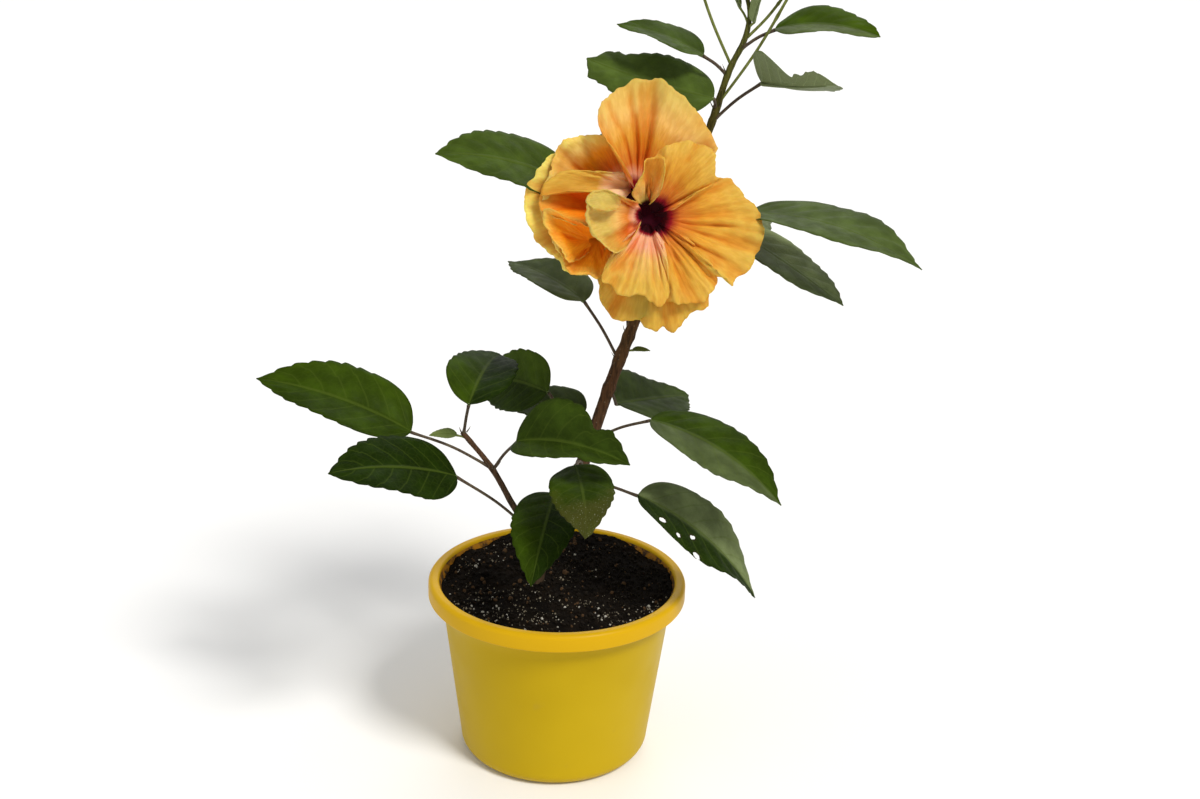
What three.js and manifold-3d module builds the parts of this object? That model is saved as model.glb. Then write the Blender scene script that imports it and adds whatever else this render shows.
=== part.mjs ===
// Hibiscus shrub with a double bloom, growing in a round plastic pot.
// Millimetres, +Z up. The origin is the centre of the pot's flat underside and -Y is the front.
import * as THREE from "three";
import { mergeVertices } from "three/addons/utils/BufferGeometryUtils.js";
import Module from "manifold-3d";

const wasm = await Module();
wasm.setup();

// Pot
const POT_HEIGHT = 118;
const POT_FOOT_RADIUS = 61.5;
const POT_SHOULDER_RADIUS = 74;
const POT_FOOT_FILLET = 9;
const POT_WALL = 2;
const POT_SIDES = 36;
const RIM_RADIUS = 82.5;
const RIM_INNER_RADIUS = 75.5;
const RIM_DEPTH = 11;
const RIM_ROUND = 3;
const DRAIN_HOLES = 6;
const DRAIN_HOLE_RADIUS = 4.5;
const DRAIN_RING_RADIUS = 44;

// Potting mix, filled nearly to the rim
const MIX_EDGE_LEVEL = 113.6;
const MIX_CROWN_LEVEL = 114;
const MIX_TILT = 0.045;
const GAP = 0.35;

// Stems
const STEM_SIDES = 7;
const MAIN_STEM_FOOT_RADIUS = 4;
const MAIN_STEM_TIP_RADIUS = 1;
const MAIN_STEM_FLARE = 1.6;
const SIDE_STEM_FOOT_RADIUS = 2.7;
const SIDE_STEM_TIP_RADIUS = 1.4;

// Leaves
const LEAF_STATIONS = 7;
const LEAF_THICKNESS = 1.2;
const LEAF_BASE_FULLNESS = 0.6;
const LEAF_TIP_FULLNESS = 1;
const LEAF_LEAST_HALF_WIDTH = 0.7;
const PETIOLE_RADIUS = 1.1;
const PETIOLE_ARCH = 0.04;

// Bloom
const BLOOM_CENTRE = new THREE.Vector3(45, -42, 369);
const BLOOM_FACING = new THREE.Vector3(0.05, -0.96, 0.26).normalize();
const BLOOM_CORE_RADIUS = 54;
const BLOOM_POINTS = 27;
const BLOOM_RUFFLES = 13;
const BLOOM_RUFFLE_HEIGHT = 2.5;
const CALYX_RADIUS = 7;
const CALYX_DEPTH = 26;
const BLOOM_LOBES = [
  { bearing: 89, reach: 16, spread: 26 },
  { bearing: 178, reach: 12, spread: 34 },
  { bearing: 285, reach: 17, spread: 26 },
  { bearing: 341, reach: 14, spread: 30 },
];

const point = (x, y, z) => new THREE.Vector3(x, y, z);
const radians = THREE.MathUtils.degToRad;

// A unit vector from its bearing (anticlockwise from +X, seen from above) and its rise.
function heading(bearing, rise) {
  const flat = Math.cos(radians(rise));
  return point(flat * Math.cos(radians(bearing)), flat * Math.sin(radians(bearing)), Math.sin(radians(rise)));
}

// A closed skin over a row of rings that all have the same number of points.
function skin(rings) {
  const count = rings[0].length;
  const positions = rings.flat().flatMap((p) => [p.x, p.y, p.z]);
  const faces = [];
  for (let i = 0; i < rings.length - 1; i += 1) {
    for (let j = 0; j < count; j += 1) {
      const next = (j + 1) % count;
      const a = i * count + j;
      const b = i * count + next;
      const c = (i + 1) * count + next;
      const d = (i + 1) * count + j;
      faces.push(a, b, c, a, c, d);
    }
  }
  const ends = [rings[0], rings[rings.length - 1]];
  ends.forEach((ring, end) => {
    const centre = ring.reduce((sum, p) => sum.add(p), point(0, 0, 0)).divideScalar(count);
    const hub = positions.length / 3;
    positions.push(centre.x, centre.y, centre.z);
    const start = end === 0 ? 0 : (rings.length - 1) * count;
    for (let j = 0; j < count; j += 1) {
      const here = start + j;
      const next = start + ((j + 1) % count);
      faces.push(...(end === 0 ? [hub, next, here] : [hub, here, next]));
    }
  });
  const geometry = new THREE.BufferGeometry();
  geometry.setAttribute("position", new THREE.Float32BufferAttribute(positions, 3));
  geometry.setIndex(faces);
  return geometry;
}

// A round limb along a curve, its radius given by a function of the way along it, 0 to 1.
function limb(curve, radiusAt, sides, steps) {
  const frames = curve.computeFrenetFrames(steps, false);
  const rings = [];
  for (let i = 0; i <= steps; i += 1) {
    const centre = curve.getPointAt(i / steps);
    const radius = radiusAt(i / steps);
    const ring = [];
    for (let j = 0; j < sides; j += 1) {
      const turn = (2 * Math.PI * j) / sides;
      const across = frames.normals[i].clone().multiplyScalar(radius * Math.cos(turn));
      const along = frames.binormals[i].clone().multiplyScalar(radius * Math.sin(turn));
      ring.push(centre.clone().add(across).add(along));
    }
    rings.push(ring);
  }
  return rings;
}

function toSolid(geometry) {
  const bare = geometry.clone();
  bare.deleteAttribute("normal");
  bare.deleteAttribute("uv");
  const merged = mergeVertices(bare, 0.001);
  const vertProperties = new Float32Array(merged.attributes.position.array);
  const triVerts = new Uint32Array(merged.index.array);
  return new wasm.Manifold(new wasm.Mesh({ numProp: 3, vertProperties, triVerts }));
}

function toGeometry(solid) {
  const mesh = solid.getMesh();
  const geometry = new THREE.BufferGeometry();
  geometry.setAttribute("position", new THREE.BufferAttribute(new Float32Array(mesh.vertProperties), 3));
  geometry.setIndex(new THREE.BufferAttribute(new Uint32Array(mesh.triVerts), 1));
  geometry.computeVertexNormals();
  return geometry;
}

const plastic = { color: 0xdfb110, roughness: 0.4, metalness: 0 };
const soil = { color: 0x1c1410, roughness: 1, metalness: 0 };
const bark = { color: 0x4a2c1c, roughness: 0.8, metalness: 0 };
const foliage = { color: 0x2f5312, roughness: 0.45, metalness: 0 };
const petals = { color: 0xe8a33a, roughness: 0.7, metalness: 0 };
const buds = { color: 0x5d7a2a, roughness: 0.6, metalness: 0 };

const shrub = new THREE.Group();

function add(name, geometry, look) {
  const mesh = new THREE.Mesh(geometry, new THREE.MeshStandardMaterial(look));
  mesh.name = name;
  shrub.add(mesh);
}

// The pot: a tapered wall with a rounded foot and a thick rolled rim.
function potOutline() {
  const rimFoot = POT_HEIGHT - RIM_DEPTH;
  const outline = [new THREE.Vector2(0, 0)];
  for (let i = 0; i <= 3; i += 1) {
    const turn = radians(30 * i);
    const reach = POT_FOOT_RADIUS - POT_FOOT_FILLET + POT_FOOT_FILLET * Math.sin(turn);
    outline.push(new THREE.Vector2(reach, POT_FOOT_FILLET * (1 - Math.cos(turn))));
  }
  outline.push(new THREE.Vector2(POT_SHOULDER_RADIUS, rimFoot));
  outline.push(new THREE.Vector2(RIM_RADIUS - 0.8, rimFoot));
  outline.push(new THREE.Vector2(RIM_RADIUS, rimFoot + 0.8));
  outline.push(new THREE.Vector2(RIM_RADIUS, POT_HEIGHT - RIM_ROUND));
  outline.push(new THREE.Vector2(RIM_RADIUS - 0.9, POT_HEIGHT - 0.9));
  outline.push(new THREE.Vector2(RIM_RADIUS - RIM_ROUND, POT_HEIGHT));
  outline.push(new THREE.Vector2(RIM_INNER_RADIUS + 1.5, POT_HEIGHT));
  outline.push(new THREE.Vector2(RIM_INNER_RADIUS, POT_HEIGHT - 1.5));
  outline.push(new THREE.Vector2(POT_SHOULDER_RADIUS - POT_WALL, rimFoot));
  outline.push(new THREE.Vector2(POT_FOOT_RADIUS - POT_WALL, POT_FOOT_FILLET));
  outline.push(new THREE.Vector2(POT_FOOT_RADIUS - POT_FOOT_FILLET, POT_WALL));
  outline.push(new THREE.Vector2(0, POT_WALL));
  return outline;
}

// LatheGeometry turns about +Y, so its result is stood up along +Z.
function turned(outline) {
  return new THREE.LatheGeometry(outline, POT_SIDES).rotateX(Math.PI / 2);
}

let pot = toSolid(turned(potOutline()));
for (let i = 0; i < DRAIN_HOLES; i += 1) {
  const bearing = (360 * i) / DRAIN_HOLES;
  const place = heading(bearing, 0).multiplyScalar(DRAIN_RING_RADIUS);
  const hole = new THREE.CylinderGeometry(DRAIN_HOLE_RADIUS, DRAIN_HOLE_RADIUS, 4 * POT_WALL, 12);
  pot = pot.subtract(toSolid(hole.rotateX(Math.PI / 2).translate(place.x, place.y, 0)));
}
add("pot", toGeometry(pot), plastic);

// The potting mix fills the pot, a gap inside its walls, heaped a little to the middle and
// banked up towards the back.
function mixOutline() {
  const rimFoot = POT_HEIGHT - RIM_DEPTH;
  const inner = POT_SHOULDER_RADIUS - POT_WALL;
  const flare = (RIM_INNER_RADIUS - inner) / (RIM_DEPTH - 1.5);
  const lowest = MIX_EDGE_LEVEL - MIX_TILT * RIM_INNER_RADIUS;
  const edge = inner + flare * (lowest - rimFoot) - GAP;
  return [
    new THREE.Vector2(0, POT_WALL + GAP),
    new THREE.Vector2(POT_FOOT_RADIUS - POT_FOOT_FILLET - GAP, POT_WALL + GAP),
    new THREE.Vector2(POT_FOOT_RADIUS - POT_WALL - GAP, POT_FOOT_FILLET),
    new THREE.Vector2(inner - GAP, rimFoot),
    new THREE.Vector2(edge, MIX_EDGE_LEVEL),
    new THREE.Vector2(0, MIX_CROWN_LEVEL),
  ];
}
function bankedMix() {
  const geometry = turned(mixOutline());
  const places = geometry.getAttribute("position");
  const topsoil = (POT_HEIGHT - RIM_DEPTH + MIX_EDGE_LEVEL) / 2;
  for (let i = 0; i < places.count; i += 1) {
    if (places.getZ(i) > topsoil) {
      places.setZ(i, places.getZ(i) + MIX_TILT * places.getY(i));
    }
  }
  return geometry;
}
add("potting_mix", toGeometry(toSolid(bankedMix())), soil);

// Stem centrelines. Both lean to one side, and the side stem leaves the main stem low down.
const STEM_FOOT_LEVEL = MIX_CROWN_LEVEL + 2 * GAP;
const stems = {
  main: {
    curve: new THREE.CatmullRomCurve3([
      point(-15, 0, STEM_FOOT_LEVEL),
      point(-11, 0, 124),
      point(0, 0, 157),
      point(13, 0, 192),
      point(31, 0, 252),
      point(46, 0, 297),
      point(82.5, 0, 406),
      point(92.5, 0, 441),
      point(100, 0, 458),
      point(102, 0, 472),
      point(98, 0, 488),
    ]),
    radiusAt: (t) => {
      const taper = MAIN_STEM_FOOT_RADIUS + (MAIN_STEM_TIP_RADIUS - MAIN_STEM_FOOT_RADIUS) * t ** 2.2;
      return taper + MAIN_STEM_FLARE * Math.exp(-40 * t);
    },
    steps: 20,
  },
  side: {
    curve: new THREE.CatmullRomCurve3([
      point(-10, 0, 127),
      point(-9, -13, 137),
      point(-12, -20, 153),
      point(-26, -20, 172),
      point(-41, -20, 199),
      point(-59, -20, 222),
    ]),
    radiusAt: (t) => SIDE_STEM_FOOT_RADIUS + (SIDE_STEM_TIP_RADIUS - SIDE_STEM_FOOT_RADIUS) * t,
    steps: 12,
  },
};

// Where a stem's centreline passes a height.
function stemPoint(stem, height) {
  let low = 0;
  let high = 1;
  for (let i = 0; i < 30; i += 1) {
    const middle = (low + high) / 2;
    if (stem.curve.getPoint(middle).z < height) {
      low = middle;
    } else {
      high = middle;
    }
  }
  return stem.curve.getPoint(low);
}

// A stem's solid, grown by some clearance where something else is to be cut back from it.
function stemSolid(stem, clearance) {
  const rings = limb(stem.curve, (t) => stem.radiusAt(t) + clearance, STEM_SIDES, stem.steps);
  rings[0].forEach((p) => {
    p.z = stem.curve.getPoint(0).z;
  });
  return toSolid(skin(rings));
}

const mainStem = stemSolid(stems.main, 0);
const keepClear = [stemSolid(stems.main, GAP), stemSolid(stems.side, GAP)];
add("main_stem", toGeometry(mainStem), bark);
add("side_stem", toGeometry(stemSolid(stems.side, 0).subtract(keepClear[0])), bark);

// The half width of a leaf along its length, as a fraction of its widest.
function leafSwell(t) {
  const widest = LEAF_BASE_FULLNESS / (LEAF_BASE_FULLNESS + LEAF_TIP_FULLNESS);
  const most = widest ** LEAF_BASE_FULLNESS * (1 - widest) ** LEAF_TIP_FULLNESS;
  return (t ** LEAF_BASE_FULLNESS * (1 - t) ** LEAF_TIP_FULLNESS) / most;
}

// A leaf blade: it sets off at a bearing and pitch, droops and sweeps along its length, rolls
// about its midrib and is folded up from it by an angle on either side.
function bladeRings(start, leaf) {
  const rings = [];
  const centre = start.clone();
  const roll = radians(leaf.roll);
  const fold = radians(leaf.fold);
  for (let i = 0; i <= LEAF_STATIONS; i += 1) {
    const t = i / LEAF_STATIONS;
    const bearing = leaf.bearing + leaf.sweep * t;
    const forward = heading(bearing, leaf.pitch - leaf.droop * t);
    const level = point(-Math.sin(radians(bearing)), Math.cos(radians(bearing)), 0);
    const rise = forward.clone().cross(level);
    const side = level.clone().multiplyScalar(Math.cos(roll)).addScaledVector(rise, Math.sin(roll));
    const up = rise.clone().multiplyScalar(Math.cos(roll)).addScaledVector(level, -Math.sin(roll));
    const half = Math.max(LEAF_LEAST_HALF_WIDTH, (leafSwell(t) * leaf.width) / 2);
    const place = (across, lift) => {
      const out = Math.abs(across) * half;
      return centre
        .clone()
        .addScaledVector(side, Math.sign(across) * out * Math.cos(fold))
        .addScaledVector(up, out * Math.sin(fold) + lift);
    };
    const columns = [-1, 0, 1];
    const lower = columns.map((across) => place(across, -LEAF_THICKNESS / 2));
    const upper = columns.map((across) => place(across, LEAF_THICKNESS / 2)).reverse();
    rings.push([...lower, ...upper]);
    const middle = t + 0.5 / LEAF_STATIONS;
    const step = heading(leaf.bearing + leaf.sweep * middle, leaf.pitch - leaf.droop * middle);
    centre.addScaledVector(step, leaf.length / LEAF_STATIONS);
  }
  return rings;
}

// A leaf on its stalk, cut back from the stems so that it stands a gap clear of them.
function leafSolid(leaf) {
  const foot = stemPoint(stems[leaf.stem], leaf.height);
  const reach = heading(leaf.stalk.bearing, leaf.stalk.rise).multiplyScalar(leaf.stalk.length);
  const start = foot.clone().add(reach);
  const middle = foot.clone().lerp(start, 0.5);
  middle.z += PETIOLE_ARCH * leaf.stalk.length;
  const into = heading(leaf.bearing, leaf.pitch).multiplyScalar(2);
  const curve = new THREE.CatmullRomCurve3([foot, middle, start, start.clone().add(into)]);
  const stalk = toSolid(skin(limb(curve, () => PETIOLE_RADIUS, 6, 5)));
  const blade = toSolid(skin(bladeRings(start, leaf)));
  return keepClear.reduce((solid, stem) => solid.subtract(stem), blade.add(stalk));
}

// Every leaf: its stem and the height it leaves it at, its stalk, and its blade's set and size.
const leaves = [
  {
    name: "leaf_far_left", stem: "side", height: 199, stalk: { bearing: 182, rise: 25, length: 54 },
    bearing: 183, pitch: 32, roll: -25, length: 100, width: 54, droop: 30, fold: 17, sweep: -13,
  },
  {
    name: "leaf_low_left", stem: "side", height: 154, stalk: { bearing: 200, rise: 42, length: 69 },
    bearing: 216, pitch: 25, roll: -33, length: 92, width: 48, droop: 21, fold: 5, sweep: 11,
  },
  {
    name: "leaf_side_tip", stem: "side", height: 221, stalk: { bearing: 287, rise: 58, length: 28 },
    bearing: 80, pitch: 26, roll: 10, length: 81, width: 43, droop: 42, fold: 15, sweep: 0,
  },
  {
    name: "leaf_mid_left", stem: "main", height: 203, stalk: { bearing: 158, rise: 53, length: 45 },
    bearing: 128, pitch: 2, roll: -58, length: 84, width: 43, droop: 26, fold: 5, sweep: 3,
  },
  {
    name: "leaf_centre", stem: "side", height: 198, stalk: { bearing: 318, rise: 50, length: 31 },
    bearing: 327, pitch: 20, roll: 35, length: 81, width: 53, droop: 35, fold: 36, sweep: 3,
  },
  {
    name: "leaf_centre_back", stem: "main", height: 212, stalk: { bearing: 101, rise: 22, length: 26 },
    bearing: 144, pitch: 0, roll: -20, length: 82, width: 36, droop: 15, fold: 10, sweep: 0,
  },
  {
    name: "leaf_front", stem: "main", height: 196, stalk: { bearing: 265, rise: 20, length: 49 },
    bearing: 284, pitch: -11, roll: 6, length: 71, width: 38, droop: 5, fold: 8, sweep: -15,
  },
  {
    name: "leaf_over_soil", stem: "main", height: 163, stalk: { bearing: 259, rise: 44, length: 31 },
    bearing: 263, pitch: -7, roll: 1, length: 80, width: 42, droop: 27, fold: 14, sweep: -2,
  },
  {
    name: "leaf_mid_right", stem: "main", height: 211, stalk: { bearing: 329.5, rise: 29, length: 47.4 },
    bearing: 345, pitch: -7, roll: 9, length: 96, width: 51, droop: 34, fold: 5, sweep: -20,
  },
  {
    name: "leaf_mid_right_back", stem: "main", height: 246, stalk: { bearing: 68, rise: -45, length: 20 },
    bearing: 56, pitch: -10, roll: 27, length: 96, width: 49, droop: 4, fold: 11, sweep: 4,
  },
  {
    name: "leaf_low_right", stem: "main", height: 184, stalk: { bearing: 322, rise: 5, length: 49 },
    bearing: 354, pitch: -21, roll: 18, length: 102, width: 54, droop: 40, fold: 12, sweep: 9,
  },
  {
    name: "leaf_under_bloom", stem: "main", height: 264, stalk: { bearing: 156, rise: 55, length: 42 },
    bearing: 134, pitch: 19, roll: -5, length: 76, width: 41, droop: 23, fold: 13, sweep: -3,
  },
  {
    name: "leaf_upper_left", stem: "main", height: 357, stalk: { bearing: 174, rise: 10, length: 58.5 },
    bearing: 213, pitch: 31, roll: -36, length: 103, width: 51, droop: 29, fold: 4, sweep: 4,
  },
  {
    name: "leaf_upper_right", stem: "main", height: 345, stalk: { bearing: 343, rise: 19, length: 47.5 },
    bearing: 328, pitch: 10, roll: 7, length: 115, width: 51, droop: 35, fold: 6, sweep: -6,
  },
  {
    name: "leaf_upper_right_low", stem: "main", height: 314, stalk: { bearing: 14, rise: 37, length: 57 },
    bearing: 322, pitch: -18, roll: 2, length: 93, width: 44, droop: 5, fold: 6, sweep: -7,
  },
  {
    name: "leaf_top_left", stem: "main", height: 418, stalk: { bearing: 256, rise: 40, length: 12 },
    bearing: 164, pitch: 8, roll: -30, length: 80, width: 50, droop: -4, fold: 3, sweep: -7,
  },
  {
    name: "leaf_top_left_small", stem: "main", height: 437.5, stalk: { bearing: 166, rise: 37, length: 18 },
    bearing: 169, pitch: 28, roll: -13, length: 54, width: 34, droop: 24, fold: 9, sweep: -3,
  },
  {
    name: "leaf_folded_right", stem: "main", height: 411, stalk: { bearing: 9, rise: 39, length: 36 },
    bearing: 307, pitch: -1, roll: -28, length: 60, width: 50, droop: -13, fold: 22, sweep: 0,
  },
  {
    name: "leaf_top_right", stem: "main", height: 452, stalk: { bearing: 358, rise: 33, length: 23 },
    bearing: 340, pitch: 16, roll: 20, length: 62, width: 36, droop: 33, fold: 12, sweep: -9,
  },
  {
    name: "leaf_back_low", stem: "main", height: 280, stalk: { bearing: 95, rise: 30, length: 42 },
    bearing: 85, pitch: 5, roll: 5, length: 90, width: 48, droop: 35, fold: 12, sweep: 8,
  },
  {
    name: "leaf_back_middle", stem: "main", height: 331, stalk: { bearing: 62, rise: 25, length: 40 },
    bearing: 50, pitch: 5, roll: -8, length: 88, width: 46, droop: 38, fold: 10, sweep: -8,
  },
  {
    name: "leaf_back_high", stem: "main", height: 388, stalk: { bearing: 118, rise: 20, length: 32 },
    bearing: 125, pitch: 0, roll: 8, length: 74, width: 42, droop: 36, fold: 12, sweep: 10,
  },
  {
    name: "leaf_tiny", stem: "main", height: 269, stalk: { bearing: 350, rise: 25, length: 7 },
    bearing: 350, pitch: 10, roll: 20, length: 11, width: 5, droop: 20, fold: 10, sweep: 0,
  },
  {
    name: "leaf_shoot_left", stem: "side", height: 217, stalk: { bearing: 185, rise: 25, length: 8 },
    bearing: 184, pitch: 8, roll: -30, length: 17, width: 8, droop: 20, fold: 15, sweep: 0,
  },
  {
    name: "leaf_young_front", stem: "main", height: 463, stalk: { bearing: 330, rise: 55, length: 6 },
    bearing: 325, pitch: 78, roll: 0, length: 34, width: 14, droop: 18, fold: 25, sweep: 0,
  },
  {
    name: "leaf_young_left", stem: "main", height: 466, stalk: { bearing: 165, rise: 63, length: 11 },
    bearing: 185, pitch: 62, roll: -10, length: 28, width: 12, droop: 35, fold: 25, sweep: 0,
  },
  {
    name: "leaf_young_back", stem: "main", height: 482, stalk: { bearing: 60, rise: 55, length: 5 },
    bearing: 60, pitch: 70, roll: 0, length: 32, width: 12, droop: 30, fold: 25, sweep: 0,
  },
];
leaves.forEach((leaf) => add(leaf.name, toGeometry(leafSolid(leaf)), foliage));

// A closed flower bud on its stalk: a thin limb that swells to the bud and comes to a point.
function budSolid(bud) {
  const foot = stemPoint(stems.main, bud.height);
  const reach = heading(bud.bearing, bud.rise).multiplyScalar(bud.length);
  const start = foot.clone().add(reach);
  const middle = foot.clone().lerp(start, 0.5).addScaledVector(point(0, 0, 1), -bud.length * 0.05);
  const tip = start.clone().addScaledVector(heading(bud.bearing, bud.rise + 8), bud.size * 2.4);
  const curve = new THREE.CatmullRomCurve3([foot, middle, start, tip]);
  const stalkShare = bud.length / (bud.length + bud.size * 2.4);
  const radiusAt = (t) => {
    const along = Math.max(0, (t - stalkShare) / (1 - stalkShare));
    return PETIOLE_RADIUS + (bud.size / 2) * Math.sin(Math.PI * along ** 0.7) * (1 - 0.35 * along);
  };
  const solid = toSolid(skin(limb(curve, radiusAt, 6, 14)));
  return keepClear.reduce((rest, stem) => rest.subtract(stem), solid);
}

const flowerBuds = [
  { name: "flower_bud_left", height: 443, bearing: 186, rise: 66, length: 62, size: 9 },
  { name: "flower_bud_right", height: 421, bearing: 350, rise: 60, length: 84, size: 9 },
  { name: "flower_bud_high", height: 457.5, bearing: 18, rise: 48, length: 40, size: 8 },
];
flowerBuds.forEach((bud) => add(bud.name, toGeometry(budSolid(bud)), buds));

// The bloom: rings about its axis run from the calyx, out behind the petals to the ruffled edge
// and in over them to the heart. Each ring is a share of the edge radius and a depth.
const bloomAcross = point(1, 0, 0).addScaledVector(BLOOM_FACING, -BLOOM_FACING.x).normalize();
const bloomUp = bloomAcross.clone().cross(BLOOM_FACING).negate();

// How far the bloom's edge stands out at a bearing: a core with a lobe for each great petal.
function bloomEdge(bearing) {
  return BLOOM_LOBES.reduce((edge, lobe) => {
    const off = ((bearing - lobe.bearing + 540) % 360) - 180;
    return edge + lobe.reach * Math.exp(-((off / lobe.spread) ** 2));
  }, BLOOM_CORE_RADIUS);
}

function bloomRing(share, depth, round) {
  const ring = [];
  for (let j = 0; j < BLOOM_POINTS; j += 1) {
    const turn = (2 * Math.PI * j) / BLOOM_POINTS;
    const reach = share * (round ? BLOOM_CORE_RADIUS : bloomEdge((360 * j) / BLOOM_POINTS));
    const ruffle = BLOOM_RUFFLE_HEIGHT * Math.cos(BLOOM_RUFFLES * turn) * (round ? 0 : share ** 2);
    ring.push(
      BLOOM_CENTRE.clone()
        .addScaledVector(bloomAcross, reach * Math.cos(turn))
        .addScaledVector(bloomUp, reach * Math.sin(turn))
        .addScaledVector(BLOOM_FACING, depth + ruffle),
    );
  }
  return ring;
}

const bloomRings = [
  bloomRing((0.8 * CALYX_RADIUS) / BLOOM_CORE_RADIUS, -CALYX_DEPTH, true),
  bloomRing(CALYX_RADIUS / BLOOM_CORE_RADIUS, 7 - CALYX_DEPTH, true),
  bloomRing(0.45, -11, false),
  bloomRing(0.8, -4, false),
  bloomRing(1, 0, false),
  bloomRing(1, 6, false),
  bloomRing(0.85, 10, false),
  bloomRing(0.6, 13, false),
  bloomRing(0.3, 18, true),
  bloomRing(0.08, 10, true),
];
const bloom = toSolid(skin(bloomRings));

// The bloom's stalk curves forward from the main stem to the calyx.
const stalkFoot = stemPoint(stems.main, 352);
const calyxFoot = BLOOM_CENTRE.clone().addScaledVector(BLOOM_FACING, -CALYX_DEPTH - GAP);
const stalkMiddle = stalkFoot.clone().lerp(calyxFoot, 0.5).add(point(-3, 3, 3));
const stalkCurve = new THREE.CatmullRomCurve3([stalkFoot, stalkMiddle, calyxFoot]);
const bloomStalk = toSolid(skin(limb(stalkCurve, () => 1.5, STEM_SIDES, 8)));
add("bloom", toGeometry(bloom), petals);
add("bloom_stalk", toGeometry(bloomStalk.subtract(keepClear[0]).subtract(bloom)), buds);

export default shrub;
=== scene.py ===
"""Hibiscus shrub in a pot: the looks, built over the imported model. Lengths are worked in millimetres
in the row frame (+Z up, the front is -Y) and turned to metres when a mesh is made."""
import itertools
import math
import random

import bpy
from mathutils import Euler, Matrix, Vector, noise


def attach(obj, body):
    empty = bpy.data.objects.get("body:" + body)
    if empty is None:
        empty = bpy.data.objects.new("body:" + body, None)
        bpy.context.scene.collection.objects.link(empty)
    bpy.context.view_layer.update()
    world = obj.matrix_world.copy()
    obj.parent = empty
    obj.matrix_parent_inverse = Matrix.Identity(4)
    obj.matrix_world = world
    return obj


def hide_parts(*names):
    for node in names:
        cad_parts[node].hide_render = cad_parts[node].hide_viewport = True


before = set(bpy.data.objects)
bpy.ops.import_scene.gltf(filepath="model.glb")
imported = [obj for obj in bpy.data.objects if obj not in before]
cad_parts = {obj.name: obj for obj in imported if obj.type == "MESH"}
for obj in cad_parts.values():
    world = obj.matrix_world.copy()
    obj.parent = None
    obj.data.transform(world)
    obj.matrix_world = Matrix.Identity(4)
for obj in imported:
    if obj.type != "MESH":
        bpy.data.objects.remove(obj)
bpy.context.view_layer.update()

MM = 0.001
SEED = 7
CHANCE = random.Random(SEED)
GAP = 0.3

# ---------------------------------------------------------------- sizes, as in the CAD model
POT_HEIGHT = 118
POT_FOOT_RADIUS = 61.5
POT_SHOULDER_RADIUS = 74
POT_FOOT_FILLET = 9
POT_WALL = 2
RIM_RADIUS = 82.5
RIM_INNER_RADIUS = 75.5
RIM_DEPTH = 11
RIM_ROUND = 3
DRAIN_HOLES = 6
DRAIN_HOLE_RADIUS = 4.5
DRAIN_RING_RADIUS = 44
MIX_EDGE_LEVEL = 113.6
MIX_CROWN_LEVEL = 114
MIX_TILT = 0.045
MIX_HOLLOWS = [(-52, 50, 13), (55, 44, 15), (-70, 12, 12)]

MAIN_STEM_FOOT_RADIUS = 4.0
MAIN_STEM_TIP_RADIUS = 1.0
MAIN_STEM_FLARE = 1.6
SIDE_STEM_FOOT_RADIUS = 2.7
SIDE_STEM_TIP_RADIUS = 1.4

MAIN_STEM_LINE = [
    (-15, 0, 108), (-11, 0, 124), (0, 0, 157), (13, 0, 192), (31, 0, 252),
    (46, 0, 297), (82.5, 0, 406), (92.5, 0, 441), (100, 0, 458), (102, 0, 472), (98, 0, 488),
]
SIDE_STEM_LINE = [
    (-10, 0, 127), (-9, -13, 137), (-12, -20, 153), (-26, -20, 172), (-41, -20, 199), (-59, -20, 222),
]

LEAF_BASE_FULLNESS = 0.6
LEAF_TIP_FULLNESS = 1.0
PETIOLE_RADIUS = 1.1
PETIOLE_ARCH = 0.04

BLOOM_CENTRE = Vector((45, -42, 369))
BLOOM_FACING = Vector((0.05, -0.96, 0.26)).normalized()
CALYX_DEPTH = 26

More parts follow.
